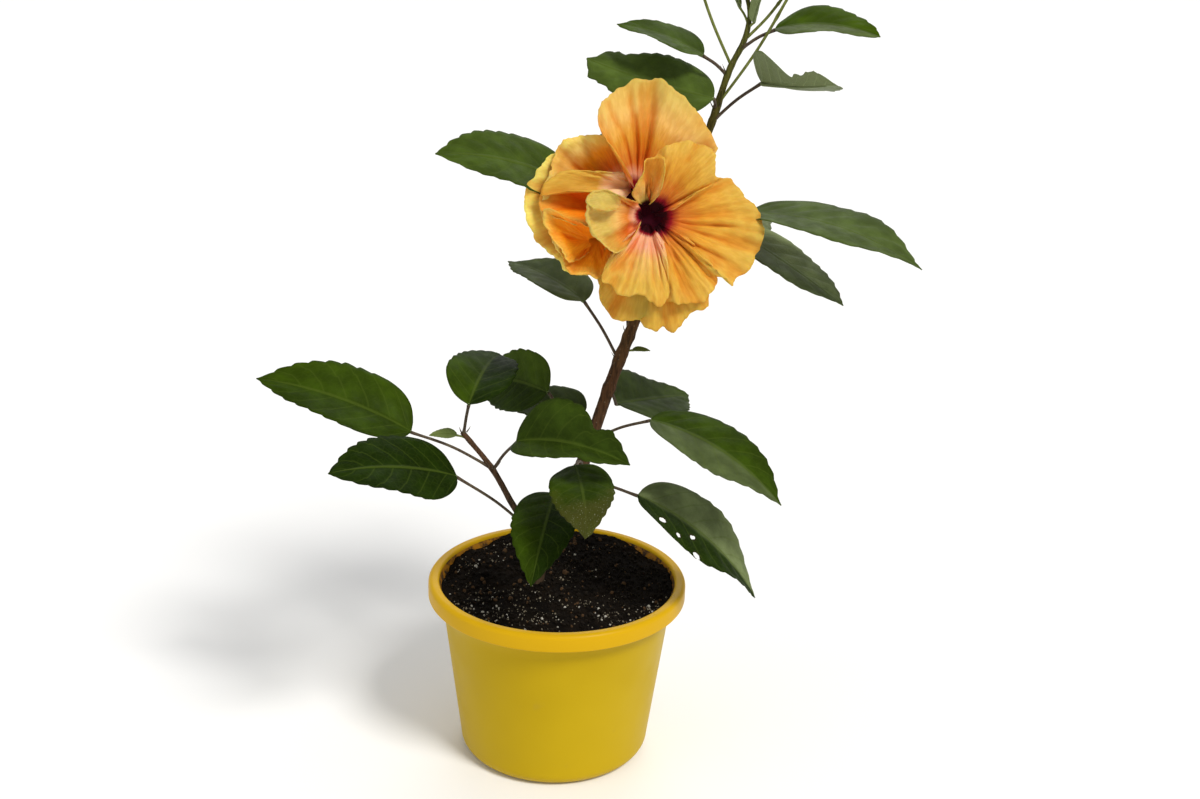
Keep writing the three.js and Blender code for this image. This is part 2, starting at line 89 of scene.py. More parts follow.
# Each leaf: stem, height on it, stalk (bearing, rise, length), blade (bearing, pitch, roll),
# (length, width), (droop, fold, sweep), and its looks: (tint, paleness). The tint runs from deep to
# fresh green and is partly the leaf's own green, partly painted shade or painted light; the paleness
# is a painted grey sheen. Bearings go round from the right through the back, in degrees.
LEAVES = {
    "leaf_far_left": ("side", 199, (182, 25, 54), (183, 32, -25), (100, 54), (30, 17, -13), (0.42, 0.0)),
    "leaf_low_left": ("side", 154, (200, 42, 69), (216, 25, -33), (92, 48), (21, 5, 11), (0.0, 0.0)),
    "leaf_side_tip": ("side", 221, (287, 58, 28), (80, 26, 10), (81, 43), (42, 15, 0), (0.55, 0.0)),
    "leaf_mid_left": ("main", 203, (158, 53, 45), (128, 2, -58), (84, 43), (26, 5, 3), (0.15, 0.03)),
    "leaf_centre": ("side", 198, (318, 50, 31), (327, 20, 35), (81, 53), (35, 36, 3), (0.4, 0.03)),
    "leaf_centre_back": ("main", 212, (101, 22, 26), (144, 0, -20), (82, 36), (15, 10, 0), (0.15, 0.2)),
    "leaf_front": ("main", 196, (265, 20, 49), (284, -11, 6), (71, 38), (5, 8, -15), (0.5, 0.0)),
    "leaf_over_soil": ("main", 163, (259, 44, 31), (263, -7, 1), (80, 42), (27, 14, -2), (0.0, 0.0)),
    "leaf_mid_right": ("main", 211, (329.5, 29, 47.4), (345, -7, 9), (96, 51), (34, 5, -20), (0.5, 0.0)),
    "leaf_mid_right_back": ("main", 246, (68, -45, 20), (56, -10, 27), (96, 49), (4, 11, 4), (0.3, 0.15)),
    "leaf_low_right": ("main", 184, (322, 5, 49), (354, -21, 18), (102, 54), (40, 12, 9), (0.3, 0.75)),
    "leaf_under_bloom": ("main", 264, (156, 55, 42), (134, 19, -5), (76, 41), (23, 13, -3), (0.3, 0.42)),
    "leaf_upper_left": ("main", 357, (174, 10, 58.5), (213, 31, -36), (103, 51), (29, 4, 4), (0.75, 0.08)),
    "leaf_upper_right": ("main", 345, (343, 19, 47.5), (328, 10, 7), (115, 51), (35, 6, -6), (0.7, 0.22)),
    "leaf_upper_right_low": ("main", 314, (14, 37, 57), (322, -18, 2), (93, 44), (5, 6, -7), (0.4, 0.95)),
    "leaf_top_left": ("main", 418, (256, 40, 12), (164, 8, -30), (80, 50), (-9, 3, -7), (1.0, 0.15)),
    "leaf_top_left_small": ("main", 437.5, (166, 37, 18), (169, 28, -13), (54, 34), (24, 9, -3), (0.85, 0.08)),
    "leaf_folded_right": ("main", 411, (9, 39, 36), (307, -1, -28), (60, 50), (-13, 22, 0), (0.9, 0.8)),
    "leaf_top_right": ("main", 452, (358, 33, 23), (340, 16, 20), (62, 36), (33, 12, -9), (0.95, 0.0)),
    "leaf_back_low": ("main", 280, (95, 30, 42), (85, 5, 5), (90, 48), (35, 12, 8), (0.4, 0.0)),
    "leaf_back_middle": ("main", 331, (62, 25, 40), (50, 5, -8), (88, 46), (38, 10, -8), (0.5, 0.1)),
    "leaf_back_high": ("main", 388, (118, 20, 32), (125, 0, 8), (74, 42), (36, 12, 10), (0.6, 0.1)),
    "leaf_tiny": ("main", 269, (350, 25, 7), (350, 10, 20), (11, 5), (20, 10, 0), (1.0, 0.2)),
    "leaf_shoot_left": ("side", 217, (185, 25, 8), (184, 8, -30), (17, 8), (20, 15, 0), (1.0, 0.5)),
    "leaf_young_front": ("main", 463, (330, 55, 6), (325, 78, 0), (34, 14), (18, 25, 0), (1.0, 0.2)),
    "leaf_young_left": ("main", 466, (165, 63, 11), (185, 62, -10), (28, 12), (35, 25, 0), (1.0, 0.2)),
    "leaf_young_back": ("main", 482, (60, 55, 5), (60, 70, 0), (32, 12), (30, 25, 0), (1.0, 0.2)),
}

# Painted light and shade on a leaf's other half (the right half, seen along the leaf from its foot)
# where it differs: its tint and painted sheen, lighter or darker than the rest as light or shade falls
# on it.
HALF_LIGHT_AND_SHADE = {
    "leaf_low_right": (0.05, 0.0),
    "leaf_mid_right": (0.3, 0.35),
    "leaf_top_right": (0.7, 0.35),
    "leaf_far_left": (0.6, 0.0),
    "leaf_upper_right_low": (0.3, 0.6),
    "leaf_side_tip": (0.0, 0.0),
    "leaf_mid_left": (0.9, 0.05),
    "leaf_over_soil": (0.4, 0.0),
}

# Leaves that are worn towards the tip, browned and flecked, and how strongly.
WORN = {"leaf_front": 0.7}

# Where a leaf's outline is drawn in or let out: side (1, -1 or 0 for both), place along, depth
# and spread.
NIPS = {
    "leaf_centre": [(1, 0.66, 0.36, 0.07), (-1, 0.66, 0.2, 0.07)],
    "leaf_folded_right": [
        (-1, 0.22, -0.22, 0.25), (-1, 0.50, 0.62, 0.075), (-1, 0.64, 0.55, 0.13),
        (-1, 0.95, -1.0, 0.08), (1, 0.93, -0.8, 0.10)],
    "leaf_top_left": [(0, 0.93, -1.0, 0.10)],
}

# Holes eaten through a leaf: place across and along, radii across and along, and how it is turned.
HOLES = {
    "leaf_low_right": [
        (0.165, 0.182, 2.6, 2.0, 25), (0.122, 0.300, 1.9, 1.5, 80),
        (0.278, 0.394, 2.4, 1.7, 130), (0.045, 0.455, 3.0, 2.2, 10)],
}
HOLE_CORNERS = 22
HOLE_REACH = 2.5
HOLE_RIM = 1.4
HOLE_RIM_INSIDE = 0.6

# Each bud: height on the main stem, bearing, rise, stalk length and bud width.
BUDS = {
    "flower_bud_left": (443, 186, 66, 62, 9),
    "flower_bud_right": (421, 350, 60, 84, 9),
    "flower_bud_high": (457.5, 18, 48, 40, 8),
}


# ---------------------------------------------------------------- small helpers
def heading(bearing, rise):
    """The direction at a bearing (0 to the right, 90 to the back) and a rise above level, in degrees."""
    b = math.radians(bearing)
    e = math.radians(rise)
    return Vector((math.cos(e) * math.cos(b), math.cos(e) * math.sin(b), math.sin(e)))


def smooth_line(points, per_span=12):
    """A centripetal Catmull-Rom line through the points, as a list of points."""
    points = [Vector(p) for p in points]
    ends = [points[0] * 2 - points[1]] + points + [points[-1] * 2 - points[-2]]
    line = []
    for a, b, c, d in zip(ends, ends[1:], ends[2:], ends[3:]):
        t0 = 0.0
        t1 = t0 + max((b - a).length, 1e-6) ** 0.5
        t2 = t1 + max((c - b).length, 1e-6) ** 0.5
        t3 = t2 + max((d - c).length, 1e-6) ** 0.5
        for i in range(per_span):
            t = t1 + (t2 - t1) * i / per_span
            ab = a.lerp(b, (t - t0) / (t1 - t0))
            bc = b.lerp(c, (t - t1) / (t2 - t1))
            cd = c.lerp(d, (t - t2) / (t3 - t2))
            abc = ab.lerp(bc, (t - t0) / (t2 - t0))
            bcd = bc.lerp(cd, (t - t1) / (t3 - t1))
            line.append(abc.lerp(bcd, (t - t1) / (t2 - t1)))
    return line + [points[-1]]


def even_line(line, count):
    """The same line at count + 1 points, evenly spaced along it."""
    run = [0.0]
    for a, b in zip(line, line[1:]):
        run.append(run[-1] + (b - a).length)
    out = []
    k = 0
    for i in range(count + 1):
        want = run[-1] * i / count
        while k < len(run) - 2 and run[k + 1] < want:
            k += 1
        share = (want - run[k]) / max(run[k + 1] - run[k], 1e-9)
        out.append(line[k].lerp(line[k + 1], min(max(share, 0.0), 1.0)))
    return out


def at_height(line, height):
    """The place on a rising line at a height."""
    for a, b in zip(line, line[1:]):
        if a.z <= height <= b.z:
            return a.lerp(b, (height - a.z) / max(b.z - a.z, 1e-9))
    return line[-1]


def bell(x, spread):
    """1 at zero, falling away smoothly on both sides."""
    return math.exp(-((x / spread) ** 2))


def smooth_step(low, high, x):
    """0 below low, 1 above high and smooth between."""
    t = min(max((x - low) / (high - low), 0.0), 1.0)
    return t * t * (3 - 2 * t)


def outline_of(grid):
    """The point numbers round the outline of a grid of them, in order."""
    right = [row[-1] for row in grid[:-1]]
    left = [row[0] for row in grid[:0:-1]]
    return grid[0][:-1] + right + grid[-1][:0:-1] + left


class Shape:
    """Vertices in millimetres, faces, a material for each face, and for each vertex its place on the
    surface (u, v) and how far it stands on a fold (0 in a valley, 1 on a ridge)."""

    def __init__(self):
        self.points = []
        self.lays = []
        self.folds = []
        self.faces = []
        self.slots = []

    def point(self, p, u=0.0, v=0.0, fold=0.0):
        self.points.append(Vector(p))
        self.lays.append((u, v))
        self.folds.append((fold, 0.0))
        return len(self.points) - 1

    def face(self, corners, slot=0):
        self.faces.append(tuple(corners))
        self.slots.append(slot)

    def grid(self, rows, slot=0, around=False):
        """Faces between rows of point numbers; around closes each row on itself."""
        for low, high in zip(rows, rows[1:]):
            count = len(low)
            for j in range(count if around else count - 1):
                k = (j + 1) % count
                self.face((low[j], low[k], high[k], high[j]), slot)

    def tube(self, line, radius_at, sides=10, slot=0):
        """A closed round tube along the line."""
        rows = []
        side = None
        for i, centre in enumerate(line):
            ahead = line[min(i + 1, len(line) - 1)] - line[max(i - 1, 0)]
            ahead.normalize()
            if side is None:
                side = ahead.cross(Vector((0, 1, 0)) if abs(ahead.y) < 0.9 else Vector((1, 0, 0)))
            side = (side - ahead * side.dot(ahead)).normalized()
            other = ahead.cross(side)
            along = i / (len(line) - 1)
            row = []
            for j in range(sides):
                turn = 2 * math.pi * j / sides
                r = radius_at(along, turn)
                p = centre + side * (r * math.cos(turn)) + other * (r * math.sin(turn))
                row.append(self.point(p, j / sides, along))
            rows.append(row)
        self.grid(rows, slot, around=True)
        self.face(reversed(rows[0]), slot)
        self.face(rows[-1], slot)

    def sheet(self, upper, lower, slot=0, under_slot=0):
        """A closed thin sheet from two grids that share an outline: rows of (point, u, v) or of
        (point, u, v, fold)."""
        top = [[self.point(*cell) for cell in row] for row in upper]
        low = [[self.point(*cell) for cell in row] for row in lower]
        self.grid(top, slot)
        self.grid([list(reversed(row)) for row in low], under_slot)
        rim_top, rim_low = outline_of(top), outline_of(low)
        for j in range(len(rim_top)):
            k = (j + 1) % len(rim_top)
            self.face((rim_top[k], rim_top[j], rim_low[j], rim_low[k]), slot)

    def made(self, name, materials, smooth=True):
        data = bpy.data.meshes.new(name)
        data.from_pydata([p * MM for p in self.points], [], self.faces)
        for material in materials:
            data.materials.append(material)
        data.polygons.foreach_set("material_index", self.slots)
        data.polygons.foreach_set("use_smooth", [smooth] * len(self.faces))
        for layer_name, values in (("Lay", self.lays), ("Fold", self.folds)):
            layer = data.uv_layers.new(name=layer_name)
            for corner in data.loops:
                layer.data[corner.index].uv = values[corner.vertex_index]
        data.update()
        piece = bpy.data.objects.new(name, data)
        bpy.context.scene.collection.objects.link(piece)
        return piece


def place(piece, slot, *nodes):
    """Every piece rides on the one body; some stand for CAD nodes."""
    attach(piece, "root")
    if nodes:
        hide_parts(*nodes)


# ---------------------------------------------------------------- materials
class Paint:
    """A material's node tree, with short calls for the few kinds of node used here."""

    def __init__(self, name, roughness=0.5, specular=0.5):
        self.material = bpy.data.materials.new(name)
        self.material.use_nodes = True
        self.tree = self.material.node_tree
        self.shader = self.tree.nodes["Principled BSDF"]
        self.shader.inputs["Roughness"].default_value = roughness
        self.shader.inputs["Specular IOR Level"].default_value = specular

    def node(self, kind, **settings):
        made = self.tree.nodes.new(kind)
        for key, value in settings.items():
            setattr(made, key, value)
        return made

    def put(self, value, socket):
        if isinstance(value, bpy.types.NodeSocket):
            self.tree.links.new(value, socket)
        else:
            socket.default_value = value

    def math(self, operation, a, b=0.0, clamp=False):
        made = self.node("ShaderNodeMath", operation=operation, use_clamp=clamp)
        self.put(a, made.inputs[0])
        self.put(b, made.inputs[1])
        return made.outputs[0]

    def times(self, a, b):
        return self.math("MULTIPLY", a, b)

    def plus(self, a, b):
        return self.math("ADD", a, b)

    def less(self, a, b):
        return self.math("SUBTRACT", a, b)

    def mean(self, a, b):
        return self.times(self.plus(a, b), 0.5)

    def split(self, vector):
        """The three numbers of a vector."""
        made = self.node("ShaderNodeSeparateXYZ")
        self.put(vector, made.inputs[0])
        return made.outputs

    def stretch(self, vector, scale):
        made = self.node("ShaderNodeMapping")
        made.inputs["Scale"].default_value = scale
        self.put(vector, made.inputs[0])
        return made.outputs[0]

    def ramp(self, value, stops):
        made = self.node("ShaderNodeValToRGB")
        elements = made.color_ramp.elements
        while len(elements) < len(stops):
            elements.new(0.5)
        for element, (at, colour) in zip(elements, stops):
            element.position = at
            element.color = (*colour, 1)
        self.put(value, made.inputs[0])
        return made.outputs[0]

    def mix(self, share, a, b, kind="MIX"):
        made = self.node("ShaderNodeMix", data_type="RGBA", blend_type=kind)
        self.put(share, made.inputs[0])
        self.put(a if isinstance(a, bpy.types.NodeSocket) else (*a, 1), made.inputs[6])
        self.put(b if isinstance(b, bpy.types.NodeSocket) else (*b, 1), made.inputs[7])
        return made.outputs[2]

    def span(self, value, low, high, to_low=0.0, to_high=1.0):
        """Passes smoothly from to_low to to_high while the value goes from low to high."""
        made = self.node("ShaderNodeMapRange", interpolation_type="SMOOTHSTEP")
        self.put(value, made.inputs[0])
        for place_in, number in zip(range(1, 5), (low, high, to_low, to_high)):
            made.inputs[place_in].default_value = number
        return made.outputs[0]

    def noise(self, where, scale, detail=3.0, rough=0.55, warp=0.0):
        made = self.node("ShaderNodeTexNoise")
        self.put(where, made.inputs["Vector"])
        made.inputs["Scale"].default_value = scale
        made.inputs["Detail"].default_value = detail
        made.inputs["Roughness"].default_value = rough
        made.inputs["Distortion"].default_value = warp
        return made.outputs[0]

    def cells(self, where, scale, feature="DISTANCE_TO_EDGE"):
        made = self.node("ShaderNodeTexVoronoi", feature=feature)
        self.put(where, made.inputs["Vector"])
        made.inputs["Scale"].default_value = scale
        return made.outputs[0]

    def body(self):
        return self.node("ShaderNodeTexCoord").outputs["Object"]

    def lay(self, stretch=(1, 1, 1)):
        """The piece's own (u, v), stretched, and its two numbers before stretching."""
        source = self.node("ShaderNodeUVMap", uv_map="Lay").outputs[0]
        parts = self.split(source)
        return self.stretch(source, stretch), parts[0], parts[1]

    def fold(self):
        return self.split(self.node("ShaderNodeUVMap", uv_map="Fold").outputs[0])[0]

    def veins(self, u, v):
        """How far a place on a leaf lies off the midrib (0 to 1), and how far it is from the
        nearest side vein (0 to 0.5)."""
        off = self.math("ABSOLUTE", self.times(self.less(u, 0.5), 2.0))
        curve = self.times(off, self.plus(VEIN_LEAN, self.times(off, VEIN_CURL)))
        step = self.times(self.less(v, curve), LEAF_VEINS)
        stagger = self.times(self.math("GREATER_THAN", u, 0.5), VEIN_STAGGER)
        return off, self.math("PINGPONG", self.plus(step, stagger), 0.5)

    def away(self, spot):
        """How far a place on the piece is from a spot, in metres; the spot is in millimetres."""
        made = self.node("ShaderNodeVectorMath", operation="DISTANCE")
        self.put(self.body(), made.inputs[0])
        made.inputs[1].default_value = spot * MM
        return made.outputs["Value"]

    def bump(self, height, strength=0.5, distance=0.4):
        made = self.node("ShaderNodeBump")
        made.inputs["Strength"].default_value = strength
        made.inputs["Distance"].default_value = distance * MM
        self.put(height, made.inputs["Height"])
        self.put(made.outputs[0], self.shader.inputs["Normal"])

    def colour(self, value):
        self.put(value, self.shader.inputs["Base Color"])

    def rough(self, value):
        self.put(value, self.shader.inputs["Roughness"])


def blend3(a, b, share):
    """A colour between two colours."""
    return tuple(x + (y - x) * share for x, y in zip(a, b))


# Deep green is as dark as the leaves that lie in shadow, so a low tint paints shade; the grey green that
# paleness leads to is a painted sheen.
DEEP_GREEN = (0.011, 0.024, 0.0012)
FRESH_GREEN = (0.048, 0.086, 0.0025)
YOUNG_GREEN = (0.15, 0.20, 0.020)
SHEEN_GREY_GREEN = (0.190, 0.230, 0.100)
VEIN_GREEN = (0.075, 0.110, 0.014)
UNDER_GREEN = (0.165, 0.205, 0.080)
UNDER_NET = (0.24, 0.31, 0.13)
UNDER_VEIN = (0.27, 0.34, 0.14)
DRY_BROWN = (0.030, 0.022, 0.008)
WORN_OLIVE = (0.062, 0.058, 0.012)
WORN_PALE = (0.30, 0.30, 0.20)

# How many side veins a leaf has, how they lean and curl forward, how far the two sides' veins are
# staggered, and how fine the net between them is.
LEAF_VEINS = 7.0
VEIN_LEAN = 0.16
VEIN_CURL = 0.08
VEIN_STAGGER = 0.45
NET_SCALE = 26.0


def leaf_tone(looks, young):
    """A leaf's ground colour, from deep to fresh green by its tint, which is partly painted shade or
    light, and towards a painted grey sheen by its paleness.
    """
    tint, pale = looks
    base = blend3(DEEP_GREEN, FRESH_GREEN, tint)
    if young:
        base = blend3(base, YOUNG_GREEN, 0.6)
    return blend3(base, SHEEN_GREY_GREEN, pale)


def leaf_material(name, looks, half_painted_light, length, width, young, worn, holes):
    """A leaf's upper face: side veins that curve forward from the midrib over a netted green,
    dried brown round any hole; the ground green carries painted shade and painted sheen, which may
    differ between the leaf's two halves."""
    paint = Paint(name, 0.48, 0.03)
    where, u, v = paint.lay((width / 100, length / 100, 1))
    off, phase = paint.veins(u, v)
    # Painted light and shade: one half of the leaf lighter or darker than the other.
    painted_half_share = paint.span(u, 0.40, 0.56, 1.0, 0.0)
    base = paint.mix(painted_half_share, leaf_tone(looks, young), leaf_tone(half_painted_light, young))
    side_vein = paint.times(paint.span(phase, 0.0, 0.075, 1.0, 0.0), paint.span(off, 0.85, 1.0, 1.0, 0.0))
    midrib = paint.span(off, 0.015, 0.07, 1.0, 0.0)
    veins = paint.math("MAXIMUM", paint.times(side_vein, 0.55), midrib)
    net = paint.span(paint.cells(where, NET_SCALE), 0.0, 0.09, 1.0, 0.0)
    cloud = paint.noise(where, 5.0, 4.0)
    shade = paint.mix(paint.span(cloud, 0.35, 0.7), (0.72, 0.72, 0.72), (1.25, 1.25, 1.25))
    dark = paint.mix(1.0, base, shade, "MULTIPLY")
    netted = paint.mix(paint.times(net, 0.09), dark, VEIN_GREEN)
    green = paint.mix(paint.times(veins, 0.52), netted, VEIN_GREEN)
    if worn:
        patch = paint.times(paint.span(paint.mean(v, cloud), 0.42, 0.60), worn)
        fleck = paint.span(paint.noise(where, 75.0, 2.0), 0.62, 0.70)
        green = paint.mix(patch, green, WORN_OLIVE)
        green = paint.mix(paint.times(fleck, patch), green, WORN_PALE)
    for spot, radius in holes:
        near, far = (radius - HOLE_RIM_INSIDE) * MM, (radius + HOLE_RIM) * MM
        rim = paint.span(paint.away(spot), near, far, 0.9, 0.0)
        green = paint.mix(rim, green, DRY_BROWN)
    paint.colour(green)
    paint.rough(paint.span(paint.noise(where, 14.0, 3.0), 0.3, 0.7, 0.42, 0.56))
    bulge = paint.less(paint.times(phase, 0.8), paint.times(midrib, 0.6))
    paint.bump(paint.less(bulge, paint.times(net, 0.12)), 0.55, 0.6)
    return paint.material


def leaf_under_material():
    """A leaf's underside: paler and duller, with raised veins."""
    paint = Paint("leaf_underside", 0.6, 0.35)
    where, u, v = paint.lay((0.5, 1, 1))
    off, phase = paint.veins(u, v)
    midrib = paint.span(off, 0.02, 0.08, 1.0, 0.0)
    vein = paint.math("MAXIMUM", paint.span(phase, 0.0, 0.07, 0.8, 0.0), midrib)
    net = paint.span(paint.cells(where, NET_SCALE), 0.0, 0.1, 1.0, 0.0)
    low, high = (tuple(c * share for c in UNDER_GREEN) for share in (0.8, 1.15))
    netted = paint.mix(paint.times(net, 0.25), paint.mix(paint.noise(where, 6.0), low, high), UNDER_NET)
    paint.colour(paint.mix(paint.times(vein, 0.7), netted, UNDER_VEIN))
    paint.bump(paint.plus(vein, paint.times(net, 0.3)), 0.6, 0.5)
    return paint.material


def stalk_material(name, low, high):
    """Green to red-brown stalks and stems: lengthwise streaks and a little fuzz."""
    paint = Paint(name, 0.6, 0.2)
    streak = paint.noise(paint.stretch(paint.body(), (1, 1, 0.25)), 700.0, 4.0)
    paint.colour(paint.mix(paint.span(streak, 0.3, 0.7), low, high))
    paint.bump(streak, 0.3, 0.3)
    return paint.material


# The stem's tones from its foot to its tip.
BARK_TONES = [
    (0.0, (0.070, 0.046, 0.028)), (0.30, (0.078, 0.036, 0.015)), (0.55, (0.085, 0.048, 0.015)),
    (0.78, (0.072, 0.056, 0.012)), (1.0, (0.072, 0.080, 0.014)),
]


def bark_material():
    """Brown-grey bark low down that passes to green above, with fine cracks and pale lenticels; the
    cracks are darkened partly as the bark's own colour and partly as painted shade.
    """
    paint = Paint("bark", 0.75, 0.12)
    where = paint.body()
    patch = paint.noise(where, 60.0, 4.0)
    height = paint.plus(paint.split(where)[2], paint.times(paint.less(patch, 0.5), 0.09))
    share = paint.span(height, 0.10, 0.50)
    tone = paint.ramp(share, BARK_TONES)
    fine = paint.noise(where, 420.0, 5.0, 0.65)
    crack = paint.noise(paint.stretch(where, (1, 1, 0.18)), 650.0, 4.0, 0.6)
    # Darker in the cracks: partly the bark's own colour, partly painted shade.
    shade = paint.mix(paint.span(crack, 0.32, 0.62), (0.45, 0.45, 0.45), (1.25, 1.2, 1.15))
    toned = paint.mix(1.0, tone, shade, "MULTIPLY")
    dots = paint.span(paint.cells(where, 330.0, "F1"), 0.10, 0.2, 1.0, 0.0)
    paint.colour(paint.mix(paint.times(dots, 0.3), toned, (0.30, 0.23, 0.15)))
    paint.bump(paint.plus(crack, paint.plus(paint.times(fine, 0.4), dots)), 0.8, 0.5)
    return paint.material


def pot_material():
    """Yellow moulded plastic, warmer on the rim, with a little dust."""
    paint = Paint("pot_plastic", 0.42, 0.10)
    where = paint.body()
    cloud = paint.noise(where, 9.0, 3.0)
    side = paint.mix(paint.span(cloud, 0.3, 0.7), (0.480, 0.320, 0.002), (0.530, 0.360, 0.004))
    rim_foot = POT_HEIGHT - RIM_DEPTH
    rim_share = paint.span(paint.split(where)[2], (rim_foot - 1) * MM, rim_foot * MM)
    base = paint.mix(rim_share, side, (0.640, 0.370, 0.003))
    dust = paint.noise(where, 60.0, 6.0, 0.7)
    grime = paint.span(dust, 0.60, 0.78, 0.0, 0.22)
    paint.colour(paint.mix(grime, base, (0.40, 0.27, 0.05)))
    paint.rough(paint.span(paint.noise(where, 30.0, 4.0), 0.3, 0.7, 0.34, 0.48))
    paint.bump(paint.noise(where, 900.0, 2.0), 0.12, 0.15)
    return paint.material


def pot_inside_material():
    """The inner wall above the mix: the same plastic, painted darker and more orange as painted shade,
    stained and splashed with soil.
    """
    paint = Paint("pot_plastic_shade_and_soil", 0.5, 0.4)
    where = paint.body()
    stain = paint.span(paint.noise(where, 150.0, 5.0, 0.7), 0.42, 0.60)
    # The plastic's colour here is painted shade; the near-black stain is soil.
    paint.colour(paint.mix(stain, (0.46, 0.19, 0.006), (0.03, 0.018, 0.010)))
    return paint.material


def mix_material():
    """Near-black damp compost with brown flecks."""
    paint = Paint("potting_mix", 0.95, 0.05)
    where = paint.body()
    cloud = paint.noise(where, 60.0, 6.0, 0.7)
    grain = paint.noise(where, 700.0, 5.0, 0.7)
    dark = paint.mix(paint.span(cloud, 0.3, 0.7), (0.003, 0.0025, 0.002), (0.012, 0.008, 0.005))
    fleck = paint.span(grain, 0.60, 0.72)
    paint.colour(paint.mix(paint.times(fleck, 0.5), dark, (0.045, 0.028, 0.016)))
    paint.bump(grain, 1.0, 1.2)
    return paint.material


def crumb_material(name, low, high):
    """A dull grainy skin between two colours."""
    paint = Paint(name, 0.9, 0.1)
    where = paint.body()
    paint.colour(paint.mix(paint.noise(where, 500.0, 4.0), low, high))
    paint.bump(paint.noise(where, 1000.0, 3.0), 0.6, 0.4)
    return paint.material


# ---------------------------------------------------------------- stems
main_line = smooth_line(MAIN_STEM_LINE)
side_line = smooth_line(SIDE_STEM_LINE)
LINES = {"main": main_line, "side": side_line}


def main_radius(along):
    taper = MAIN_STEM_FOOT_RADIUS + (MAIN_STEM_TIP_RADIUS - MAIN_STEM_FOOT_RADIUS) * along ** 2.2
    return taper + MAIN_STEM_FLARE * math.exp(-40 * along)


def side_radius(along):
    return SIDE_STEM_FOOT_RADIUS + (SIDE_STEM_TIP_RADIUS - SIDE_STEM_FOOT_RADIUS) * along


def stem_piece(name, line, radius_at, joints, material, count):
    """A stem with bark relief and a swelling where each leaf or bud leaves it."""
    line = even_line(line, count)
    heights = [p.z for p in line]

    def radius(along, turn):
        k = min(int(along * count), count)
        swell = max((0.16 * bell(heights[k] - joint, 3.0) for joint in joints), default=0)
        ridge = noise.noise(Vector((3 * math.cos(turn), 3 * math.sin(turn), heights[k] * 0.22)))
        fine = noise.noise(Vector((9 * math.cos(turn), 9 * math.sin(turn), heights[k] * 0.9)))
        return radius_at(along) * (1 + swell + 0.055 * ridge + 0.035 * fine)

    shape = Shape()
    shape.tube(line, radius, sides=20)
    return shape.made(name, [material])


def build_stems():
    """The leader and the low bough, each with its joints where leaves and buds leave it."""
    bark = bark_material()
    joints = {"main": [], "side": []}
    for stem, height, *_ in LEAVES.values():
        joints[stem].append(height)
    for height, *_ in BUDS.values():
        joints["main"].append(height)
    main = stem_piece("stem_main", main_line, main_radius, joints["main"], bark, 300)
    place(main, "bark", "main_stem")
    side = stem_piece("stem_side", side_line, side_radius, joints["side"], bark, 110)
    place(side, "bark", "side_stem")


# ---------------------------------------------------------------- leaves
LEAF_ROWS = 66
LEAF_COLUMNS = 9
YOUNG_LENGTH = 40
BIG_LEAF_LENGTH = 70
BIG_LEAF_TEETH = 11
SMALL_LEAF_TEETH = 8
STIPULE_TURN = 55


def leaf_swell(t):
    """The share of a leaf's full width at t along it: fullest below the middle, pointed at the tip."""
    widest = LEAF_BASE_FULLNESS / (LEAF_BASE_FULLNESS + LEAF_TIP_FULLNESS)
    most = widest ** LEAF_BASE_FULLNESS * (1 - widest) ** LEAF_TIP_FULLNESS
    return max(t, 0.0) ** LEAF_BASE_FULLNESS * max(1 - t, 0.0) ** LEAF_TIP_FULLNESS / most


def leaf_frames(start, blade, drop, length):
    """The midrib's points with the blade's side and up directions at each."""
    (bearing, pitch, roll), (droop, _, sweep) = blade, drop
    turn = math.radians(roll)
    centre = start.copy()
    frames = []
    for i in range(LEAF_ROWS + 1):
        t = i / LEAF_ROWS
        b = bearing + sweep * t
        forward = heading(b, pitch - droop * t)
        level = Vector((-math.sin(math.radians(b)), math.cos(math.radians(b)), 0))
        rise = forward.cross(level)
        side = level * math.cos(turn) + rise * math.sin(turn)
        up = rise * math.cos(turn) - level * math.sin(turn)
        frames.append((centre.copy(), side, up))
        middle = t + 0.5 / LEAF_ROWS
        centre += heading(bearing + sweep * middle, pitch - droop * middle) * (length / LEAF_ROWS)
    return frames


def leaf_edge(t, width, teeth, seed, side):
    """The half width at t, with coarse rounded teeth from a third of the way to the tip."""
    half = width / 2 * leaf_swell(t)
    strength = smooth_step(0.22, 0.5, t) * (1 - smooth_step(0.93, 1.0, t))
    saw = (t * teeth + 0.37 * side + 0.1 * seed) % 1.0
    tooth = (saw ** 0.8) * 1.25 if saw < 0.82 else (1.0 - saw) / 0.18
    wobble = 1 + 0.05 * noise.noise(Vector((t * 4.0, seed * 3.1, side)))
    return max(half * wobble + strength * (tooth - 0.5) * width * 0.030, 0.35)


def eat_holes(piece, name, grid):
    """Cuts the leaf's holes out of its blade, and tells the middle and radius of each."""
    cutters = []
    spots = []
    for across, along, wide, tall, turn in HOLES.get(name, ()):
        row, rest = divmod(along * LEAF_ROWS, 1)
        column, aside = divmod(across * 2 * LEAF_COLUMNS, 1)
        near, far = grid[int(row)], grid[int(row) + 1]
        corner, right = near[int(column)][0], near[int(column) + 1][0]
        ahead, beyond = far[int(column)][0], far[int(column) + 1][0]
        spot = corner.lerp(right, aside).lerp(ahead.lerp(beyond, aside), rest)
        up = (right - corner).cross(ahead - corner).normalized()

        def gnawed(_, around):
            swing = around - math.radians(turn)
            oval = wide * tall / math.hypot(tall * math.cos(swing), wide * math.sin(swing))
            spin = Vector((2 * math.cos(around), 2 * math.sin(around), 9 * along))
            return oval * (1 + 0.35 * noise.noise(spin))

        cutter = Shape()
        cutter.tube([spot - up * HOLE_REACH, spot + up * HOLE_REACH], gnawed, HOLE_CORNERS)
        cutters.append(cutter.made("hole_cutter", []))
        spots.append((spot, (wide + tall) / 2))
    if cutters:
        cut_holes(piece, cutters, crossing=True)
    return spots


